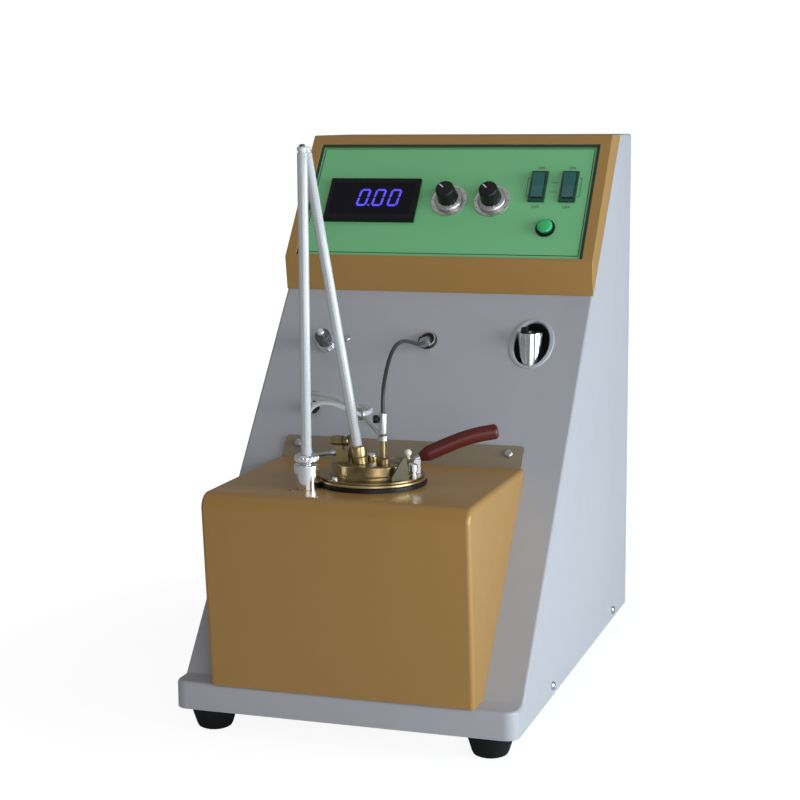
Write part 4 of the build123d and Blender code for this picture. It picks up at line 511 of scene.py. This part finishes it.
# %% Draw a cord
SHAFT_ROUTE = [(1.8, 198.0, 251.5), (1.8, 184.0, 251.5), (1.8, 168.0, 255.4), (2.5, 149.0, 258.6),
               (4.6, 128.0, 260.2), (7.9, 106.0, 259.4), (11.5, 84.0, 254.9), (14.9, 65.0, 246.9),
               (17.3, 52.2, 238.6), (18.0, 47.4, 228.5), (18.0, 47.4, 219.2)]
HOSE_ROUTE = [(-80.6, 158.02, 207.63), (-80.6, 151.04, 213.31), (-75.5, 141.5, 216.6),
              (-62.0, 131.0, 217.6), (-45.5, 119.0, 217.9), (-31.0, 108.0, 214.6), (-17.9, 98.0, 214.2),
              (-7.1, 88.0, 215.3), (-1.0, 78.0, 215.1), (-2.3, 69.0, 214.0), (-8.1, 61.5, 214.9),
              (-16.0, 56.5, 220.1), (-24.2, 52.5, 223.6), (-31.5, 50.0, 224.4), (-38.0, 48.0, 220.0),
              (-40.6, 46.9, 212.5), (-39.9, 46.4, 205.0), (-38.7, 46.4, 198.0), (-38.7, 46.4, 191.6)]


def draw_cord(name, route, width, finish, node):
    """A smooth cord through its route's control points, in millimetres."""
    curve = bpy.data.curves.new(name, "CURVE")
    curve.dimensions, curve.bevel_depth, curve.bevel_resolution = "3D", width / 2 * MM, 5
    curve.resolution_u, curve.use_fill_caps = 24, True
    line = curve.splines.new("NURBS")
    line.points.add(len(route) - 1)
    for point, place in zip(line.points, route):
        point.co = (*spot(*place), 1.0)
    line.order_u = 3
    line.use_endpoint_u = True
    curve.materials.append(finish.material)
    piece = bpy.data.objects.new(name, curve)
    bpy.context.scene.collection.objects.link(piece)
    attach(piece, "lid")
    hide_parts(node)
    print(name, "points", len(route))
    return piece


draw_cord("drive_shaft", SHAFT_ROUTE, 3.0, sheath_grey, "flexible_shaft")
draw_cord("clear_tube", HOSE_ROUTE, 4.0, clear_hose, "gas_hose")

# %% [markdown]
# ## Turned and flat shapes
# Rings, beads and domes are made by spinning a short profile round an axis. Printed lines are flat strips
# raised by a few hundredths of a millimetre, which is about what screen ink stands proud of a panel.

# %% Turned and flat shapes
INK = 0.06              # thickness of printed ink, in millimetres


def turned(shape, plane, profile, angle=360.0, steps=48):
    """Spin a (radius, height) profile, in millimetres, round the plane's Z axis."""
    points = [shape.verts.new(plane @ (Vector((radius, 0, height)) * MM)) for radius, height in profile]
    edges = [shape.edges.new(pair) for pair in zip(points, points[1:])]
    bmesh.ops.spin(shape, geom=points + edges, cent=plane.translation, axis=plane.col[2].xyz,
                   angle=radians(angle), steps=steps, use_merge=angle == 360.0)
    bmesh.ops.remove_doubles(shape, verts=shape.verts, dist=0.001 * MM)
    bmesh.ops.recalc_face_normals(shape, faces=shape.faces)


def strip(shape, plane, width, length, thick=INK):
    """Flat strip centred on a plane, in millimetres, raised by its thickness."""
    grid = bmesh.ops.create_grid(shape, x_segments=1, y_segments=1, size=0.5,
                                 matrix=plane @ Matrix.Diagonal((width * MM, length * MM, 1, 1)))
    raised = bmesh.ops.extrude_face_region(shape, geom=list(grid["verts"][0].link_faces))["geom"]
    top = [v for v in raised if isinstance(v, bmesh.types.BMVert)]
    bmesh.ops.translate(shape, verts=top, vec=plane.col[2].xyz * thick * MM)
    bmesh.ops.recalc_face_normals(shape, faces=shape.faces)


print("ink", INK, "mm thick")

# %% [markdown]
# ## Printing on the panel
# A dark strip of painted shadow lines the frame's inner edge on the panel, and a fine line runs round just
# inside it.
# Short brackets tie each switch to its two positions, which are marked ON and OFF, and eleven ticks
# divide each dial.

# %% Print the panel
BORDER_X, BORDER_LOW, BORDER_HIGH, LINE_W = 117.0, 6.6, 110.4, 0.7
SWITCH_XS, SWITCH_UP = (75.0, 100.6), 72.3
BRACKET_W = 0.45        # width of the fine lines at the switches and on the dials

lines = bmesh.new()
for up in (BORDER_LOW, BORDER_HIGH):
    strip(lines, on(PANEL, 0, up), 2 * BORDER_X, LINE_W)
for x in (-BORDER_X, BORDER_X):
    strip(lines, on(PANEL, x, (BORDER_LOW + BORDER_HIGH) / 2), LINE_W, BORDER_HIGH - BORDER_LOW)
for x, side in ((SWITCH_XS[0], -1), (SWITCH_XS[1], 1)):
    middle = x + side * 9.5
    strip(lines, on(PANEL, middle, SWITCH_UP), BRACKET_W, 18.0)
    for rise in (-9.0, 9.0):
        strip(lines, on(PANEL, middle - side * 1.1, SWITCH_UP + rise), 2.6, BRACKET_W)
for rise in (-4.5, 4.5):
    strip(lines, on(PANEL, sum(SWITCH_XS) / 2, SWITCH_UP + rise), 6.0, BRACKET_W)
settle("panel_lines", lines, dark_ink_and_shadow, "base")

# A dark strip of painted shadow, standing for the frame's shadow on the sunk panel, at its top and both
# sides.
SHADOW_W, SHADOW_T, OPEN_X, OPEN_LOW, OPEN_HIGH = 2.4, 0.8, 121.0, 3.0, 114.16
side_length = OPEN_HIGH - OPEN_LOW - SHADOW_W
frame_shadow = bmesh.new()
strip(frame_shadow, on(PANEL, 0, OPEN_HIGH - SHADOW_W / 2), 2 * OPEN_X, SHADOW_W, SHADOW_T)
for x in (SHADOW_W / 2 - OPEN_X, OPEN_X - SHADOW_W / 2):
    strip(frame_shadow, on(PANEL, x, OPEN_LOW + side_length / 2), SHADOW_W, side_length, SHADOW_T)
settle("panel_frame_shadow", frame_shadow, dark_ink_and_shadow, "base")

DIAL_T, TICK_REACH, FIRST_TICK, TICK_PITCH = 1.2, 13.7, -60.0, 30.0
ticks = bmesh.new()
for x in KNOB_XS:
    for step in range(11):
        dial = on(PANEL, x, KNOB_UP, DIAL_T, FIRST_TICK + TICK_PITCH * step)
        strip(ticks, on(dial, TICK_REACH), 1.8, BRACKET_W)
settle("dial_ticks", ticks, dark_ink_and_shadow, "base")


def print_word(name, word, size, place):
    """A short printed word, made mesh before its place is applied."""
    text = bpy.data.curves.new(name, "FONT")
    text.body, text.size, text.extrude = word, size * MM, INK * MM
    text.align_x = text.align_y = "CENTER"
    holder = bpy.data.objects.new(name, text)
    bpy.context.scene.collection.objects.link(holder)
    bpy.context.view_layer.update()
    flat = bpy.data.meshes.new_from_object(holder)
    bpy.data.objects.remove(holder)
    shape = bmesh.new()
    shape.from_mesh(flat)
    bmesh.ops.transform(shape, matrix=place, verts=shape.verts)
    return settle(name, shape, dark_ink_and_shadow, "base")


for side, x in zip(("left", "right"), SWITCH_XS):
    print_word(f"on_{side}", "ON", 3.6, on(PANEL, x, SWITCH_UP + 19.0))
    print_word(f"off_{side}", "OFF", 3.6, on(PANEL, x, SWITCH_UP - 19.5))

# %% [markdown]
# ## The lit digits
# Each digit has hexagonal bars, made from a six-sided disc pulled apart at its waist. A zero lights the
# six round its edge. The digits lean a little to the right, which a shear does for all bars at once.

# %% Light the digits
DIGIT_W, DIGIT_H, DIGIT_PITCH, DIGIT_LEAN = 7.6, 15.2, 13.5, 8.0
BAR_W, BAR_GAP = 1.9, 0.5
WINDOW_X, WINDOW_UP, WINDOW_OUT = -64.5, 57.2, 3.62
READOUT = on(PANEL, WINDOW_X + 6.0, WINDOW_UP + 1.3, WINDOW_OUT) @ Matrix(
    ((1, tan(radians(DIGIT_LEAN)), 0, 0), (0, 1, 0, 0), (0, 0, 1, 0), (0, 0, 0, 1)))


def bar(shape, plane, length, width):
    """Hexagonal bar along the plane's Y axis, pointed at both ends."""
    radius = width / 2 / cos(radians(30))
    disc = bmesh.ops.create_circle(shape, cap_ends=True, segments=6, radius=radius * MM)["verts"]
    for side in (-1, 1):
        half = [v for v in disc if v.co.y * side > 0]
        bmesh.ops.translate(shape, verts=half, vec=(0, side * (length / 2 - radius) * MM, 0))
    bmesh.ops.transform(shape, matrix=plane, verts=disc)
    raised = bmesh.ops.extrude_face_region(shape, geom=list(disc[0].link_faces))["geom"]
    top = [v for v in raised if isinstance(v, bmesh.types.BMVert)]
    bmesh.ops.translate(shape, verts=top, vec=plane.col[2].xyz.normalized() * INK * MM)
    bmesh.ops.recalc_face_normals(shape, faces=shape.faces)


digits = bmesh.new()
for step in (-1, 0, 1):
    middle = step * DIGIT_PITCH
    for side in (-1, 1):
        edge = middle + side * DIGIT_W / 2
        for half in (-1, 1):
            bar(digits, on(READOUT, edge, half * DIGIT_H / 4), DIGIT_H / 2 - BAR_GAP, BAR_W)
        bar(digits, on(READOUT, middle, side * DIGIT_H / 2, turn=90), DIGIT_W - BAR_GAP, BAR_W)
bar(digits, on(READOUT, -DIGIT_PITCH / 2, -DIGIT_H / 2), BAR_W, BAR_W)
settle("lit_digits", digits, digit_glow, "base")

# %% [markdown]
# ## Pointers on the knobs
# A white line on the crown of each knob shows where it stands. It rides on the knob, so it turns with it.

# %% Knob lines
KNOB_GAP, KNOB_H, POINTER_TURN = 0.3, 17.0, 140.0
KNOB_TOP = DIAL_T + KNOB_GAP + KNOB_H
for name, body, x in (("heat_line", "heat_knob", KNOB_XS[0]), ("stir_line", "stir_knob", KNOB_XS[1])):
    line = bmesh.new()
    strip(line, on(on(PANEL, x, KNOB_UP, KNOB_TOP, POINTER_TURN), 4.0, 0), 4.6, 0.9)
    settle(name, line, white_ink, body)

# %% [markdown]
# ## Slotted screws
# A pan head is a low dome with a slot cut across it. The dome is spun, cut by two planes into halves that
# stand the slot's width apart, and each cut is filled, so the slot has real sides for the light to catch.

# %% Slot the screws
def slotted(shape, plane, radius=2.5, height=1.8, gap=0.9, rise=0.45):
    """Two halves of a dome with a slot between them, on the flat top of a screw's head."""
    for side in (-1, 1):
        half = bmesh.new()
        turned(half, on(plane, out=height), [(radius, 0), (radius, rise * 0.5), (radius * 0.7, rise * 0.85),
                                             (0, rise), (0, 0), (radius, 0)], steps=24)
        cut = bmesh.ops.bisect_plane(half, geom=half.verts[:] + half.edges[:] + half.faces[:],
                                     plane_co=on(plane, side * gap / 2, 0, height).translation,
                                     plane_no=plane.col[0].xyz * side, clear_inner=True)["geom_cut"]
        bmesh.ops.holes_fill(half, edges=[e for e in cut if isinstance(e, bmesh.types.BMEdge)])
        bmesh.ops.recalc_face_normals(half, faces=half.faces)
        mesh = bpy.data.meshes.new("half")
        half.to_mesh(mesh)
        half.free()
        shape.from_mesh(mesh)
        bpy.data.meshes.remove(mesh)


def facing(origin, turn_x=0.0, turn_y=0.0, turn_z=0.0):
    """Plane at a point, turned from level about X, Y and Z in degrees."""
    plane = Matrix.Translation(origin)
    for turn, axis in ((turn_z, "Z"), (turn_y, "Y"), (turn_x, "X")):
        plane = plane @ Matrix.Rotation(radians(turn), 4, axis)
    return plane


HALF_W, HOUSING_D = 130.0, 388.0
heads = bmesh.new()
turns = iter((20, 75, 130, 10, 55, 95, 150, 35, 80, 115, 5, 65, 100))
for side in (-1, 1):
    for y in (107.7, 330.0):
        slotted(heads, on(facing(spot(side * HALF_W, y, 8.0), turn_y=90 * side), turn=next(turns)))
    for z in (11.0, 206.75, 404.5):
        slotted(heads, on(facing(spot(side * 121.0, HOUSING_D, z), turn_x=-90), turn=next(turns)))
    slotted(heads, on(SLOPE, side * 85.5, 198.22, 1.5, next(turns)))
slotted(heads, on(SLOPE, -67.4, 297.5, 0, next(turns)))
settle("slotted_heads", heads, steel, "base")

SCREW_REACH = 34.6      # from the cup's axis to the screws of its lid
crowns = bmesh.new()
for turn in (-121.0, 110.0, 160.0):
    rim = spot(CUP_X + SCREW_REACH * cos(radians(turn)), CUP_Y + SCREW_REACH * sin(radians(turn)), 172.2)
    slotted(crowns, facing(rim, turn_z=turn + 30), 1.7, 1.8, 0.6, 0.3)
slotted(crowns, facing(spot(CUP_X, CUP_Y, 185.2), turn_z=25), 2.3, 1.8, 0.7, 0.3)
settle("slotted_crowns", crowns, chrome, "lid")

# %% [markdown]
# ## Fittings on the slope
# The lamp looks out through an oval hole with a turned-over lip, made by bridging two ovals and the
# hole's edge. A bright clip sits in the black socket of the drive, open at one side.

# %% Lip and clip
def oval(shape, plane, half_w, half_l, out):
    """Loop of 64 edges, an oval in millimetres on a plane."""
    ring = bmesh.ops.create_circle(shape, segments=64, radius=1.0)["verts"]
    bmesh.ops.transform(shape, verts=ring, matrix=on(plane, out=out) @ Matrix.Diagonal(
        (half_w * MM, half_l * MM, 1, 1)))
    return list({edge for vert in ring for edge in vert.link_edges})


LAMP_HOLE = on(SLOPE, 87.2, 298.2)
lip = bmesh.new()
loops = [oval(lip, LAMP_HOLE, *size) for size in ((18.2, 23.2, 0.02), (17.6, 22.8, 0.8), (15.2, 21.3, 1.0),
                                                  (14.4, 20.6, 0.5), (14.3, 20.5, -1.8))]
for outer, inner in zip(loops, loops[1:]):
    bmesh.ops.bridge_loops(lip, edges=outer + inner)
bmesh.ops.recalc_face_normals(lip, faces=lip.faces)
settle("lamp_hole_lip", lip, grey_enamel, "base")

CLIP_R, WIRE_R = 6.3, 0.55
wire = [(CLIP_R + WIRE_R * cos(t * pi / 4), 0.4 + WIRE_R * sin(t * pi / 4)) for t in range(9)]
clip = bmesh.new()
turned(clip, on(SLOPE, 1.8, 297.7, 2.3, 250), wire, 270, 40)
settle("socket_clip", clip, chrome, "base")

# %% [markdown]
# ## Scales on the thermometers
# The stems are engraved. Each mark is a narrow band bent round the front of the glass, longer at every
# fifth one and longest at every tenth, and a thread runs up beside them. A small cap ends the upright one.

# %% Engrave the stems
STEM_R, STEM_L, STEM_LEAN = 3.75, 219.0, 9.8
MARK_R, MARK_W, MARK_PITCH, MARK_TURN = STEM_R + 0.02, 0.22, 2.0, -75.0
FIRST_MARK, BARE_TOP, THREAD_TURN = 14.0, 20.0, 16.0
faint_ink = moulded("faint_ink", (0.38, 0.39, 0.42), 0.4, 0.001)


def engrave(name, axis, length, body):
    """Scale marks and the thread of one stem, round an axis that starts at its gland."""
    marks = bmesh.new()
    for step in range(int((length - 2 * BARE_TOP) / MARK_PITCH)):
        arc = 70.0 if step % 10 == 0 else 50.0 if step % 5 == 0 else 36.0
        low = FIRST_MARK + MARK_PITCH * step
        turned(marks, on(axis, turn=MARK_TURN), [(MARK_R, low), (MARK_R, low + MARK_W)], arc, 4)
    thread = on(axis, turn=MARK_TURN - THREAD_TURN)
    turned(marks, thread, [(MARK_R, 4.0), (MARK_R, length - BARE_TOP)], 9.0, 2)
    return settle(name, marks, faint_ink, body)


UPRIGHT_AXIS = facing(spot(-33.0, 26.4, 190.0))
LEANING_AXIS = on(facing(spot(0.9, 46.4, 182.0), turn_y=-STEM_LEAN), out=12.5)
engrave("upright_marks", UPRIGHT_AXIS, STEM_L, "bath_thermometer")
engrave("leaning_marks", LEANING_AXIS, STEM_L - 2.0, "cup_thermometer")
tip = bmesh.new()
turned(tip, on(UPRIGHT_AXIS, out=STEM_L),
       [(0, -0.2), (2.2, -0.2), (2.4, 0.5), (1.6, 1.6), (0, 1.9)], steps=24)
settle("stem_tip", tip, iron, "bath_thermometer")

# %% [markdown]
# ## Small things on the box
# A red bead beside the bush marks the filling level, and steel blades show in the mains inlet.

# %% Bead and blades
bead = bmesh.new()
turned(bead, facing(spot(-41.2, 15.6, 165.3)), [(0, 0), (1.5, 0), (1.4, 0.5), (0.8, 0.9), (0, 1.0)], steps=24)
settle("red_bead", bead, dot_red, "base")

INLET_X, INLET_Z = 78.0, 52.0
BLADE_SUNK, BLADE_L = 14.6, 13.4
blades = bmesh.new()
for x, z in ((-7.0, -2.0), (0.0, 3.0), (7.0, -2.0)):
    root = on(facing(spot(INLET_X - x, HOUSING_D, INLET_Z + z), turn_x=-90), out=-BLADE_SUNK)
    strip(blades, root, 2.3, 4.8, BLADE_L)
settle("inlet_blades", blades, steel, "base")

# %% [markdown]
# ## Floor, air and lamps
# The tester stands on a white sweep under soft light. Most of the light comes from a wide lamp on the
# right, a low lamp in front fills the slope, and the air gives the rest. Rays from the camera see the air
# as plain white, and the floor brightens towards that white, so that only its soft shadow shows.

# %% The studio
floor_finish = Finish("floor_white", Roughness=0.9, Base_Color=(0.82, 0.82, 0.82))
tone = floor_finish.blend(floor_finish.noise(3.0), (0.80, 0.80, 0.80), (0.84, 0.84, 0.84))
floor_finish.give(Base_Color=tone)
sight = floor_finish.node("ShaderNodeLightPath", out="Is Camera Ray")
reach = floor_finish.node("ShaderNodeVectorMath", {"operation": "LENGTH"},
                          {0: floor_finish.place()}, out="Value")
far = floor_finish.node("ShaderNodeMapRange", {"interpolation_type": "SMOOTHSTEP"},
                        {"Value": reach, "From Min": 0.25, "From Max": 0.75, "To Min": 0.82, "To Max": 1.0})
white = floor_finish.node("ShaderNodeEmission", {}, {"Color": (1.0, 1.0, 1.0), "Strength": 1.12})
mixed = floor_finish.node("ShaderNodeMixShader", {}, {0: sight * far, 1: Value(
    floor_finish, floor_finish.shader.outputs[0]), 2: white})
floor_finish.feed(floor_finish.tree.nodes["Material Output"].inputs["Surface"], mixed)
floor_shape = bmesh.new()
bmesh.ops.create_grid(floor_shape, x_segments=1, y_segments=1, size=6.0)
floor_mesh = bpy.data.meshes.new("floor")
floor_shape.to_mesh(floor_mesh)
floor_shape.free()
floor_mesh.materials.append(floor_finish.material)
floor = bpy.data.objects.new("floor", floor_mesh)
bpy.context.scene.collection.objects.link(floor)

AIR, SEEN_AIR = 0.25, 1.05
world = bpy.context.scene.world or bpy.data.worlds.new("world")
bpy.context.scene.world = world
world.use_nodes = True
sky = world.node_tree
air = sky.nodes["Background"]
path = sky.nodes.new("ShaderNodeLightPath")
seen = sky.nodes.new("ShaderNodeMath")
seen.operation = "MAXIMUM"
sky.links.new(path.outputs["Is Camera Ray"], seen.inputs[0])
sky.links.new(path.outputs["Is Transmission Ray"], seen.inputs[1])
level = sky.nodes.new("ShaderNodeMapRange")
level.inputs["To Min"].default_value, level.inputs["To Max"].default_value = AIR, SEEN_AIR
sky.links.new(seen.outputs[0], level.inputs["Value"])
sky.links.new(level.outputs[0], air.inputs["Strength"])
air.inputs["Color"].default_value = (1, 1, 1, 1)


def lamp(name, place, size, power, colour=(1, 1, 1)):
    """Square soft lamp aimed at the middle of the tester."""
    light = bpy.data.lights.new(name, "AREA")
    light.size, light.energy, light.color = size, power, colour
    holder = bpy.data.objects.new(name, light)
    holder.location = place
    holder.rotation_euler = (Vector((0, 0, 0.2)) - Vector(place)).to_track_quat("-Z", "Y").to_euler()
    bpy.context.scene.collection.objects.link(holder)
    print(name, power, "W")


lamp("key_lamp", (1.5, -0.25, 0.3), 1.0, 34.0, (0.82, 0.93, 1.0))
lamp("front_lamp", (1.1, -2.0, 0.5), 1.2, 15.0)
lamp("top_lamp", (-0.2, -0.3, 2.0), 1.6, 2.0)
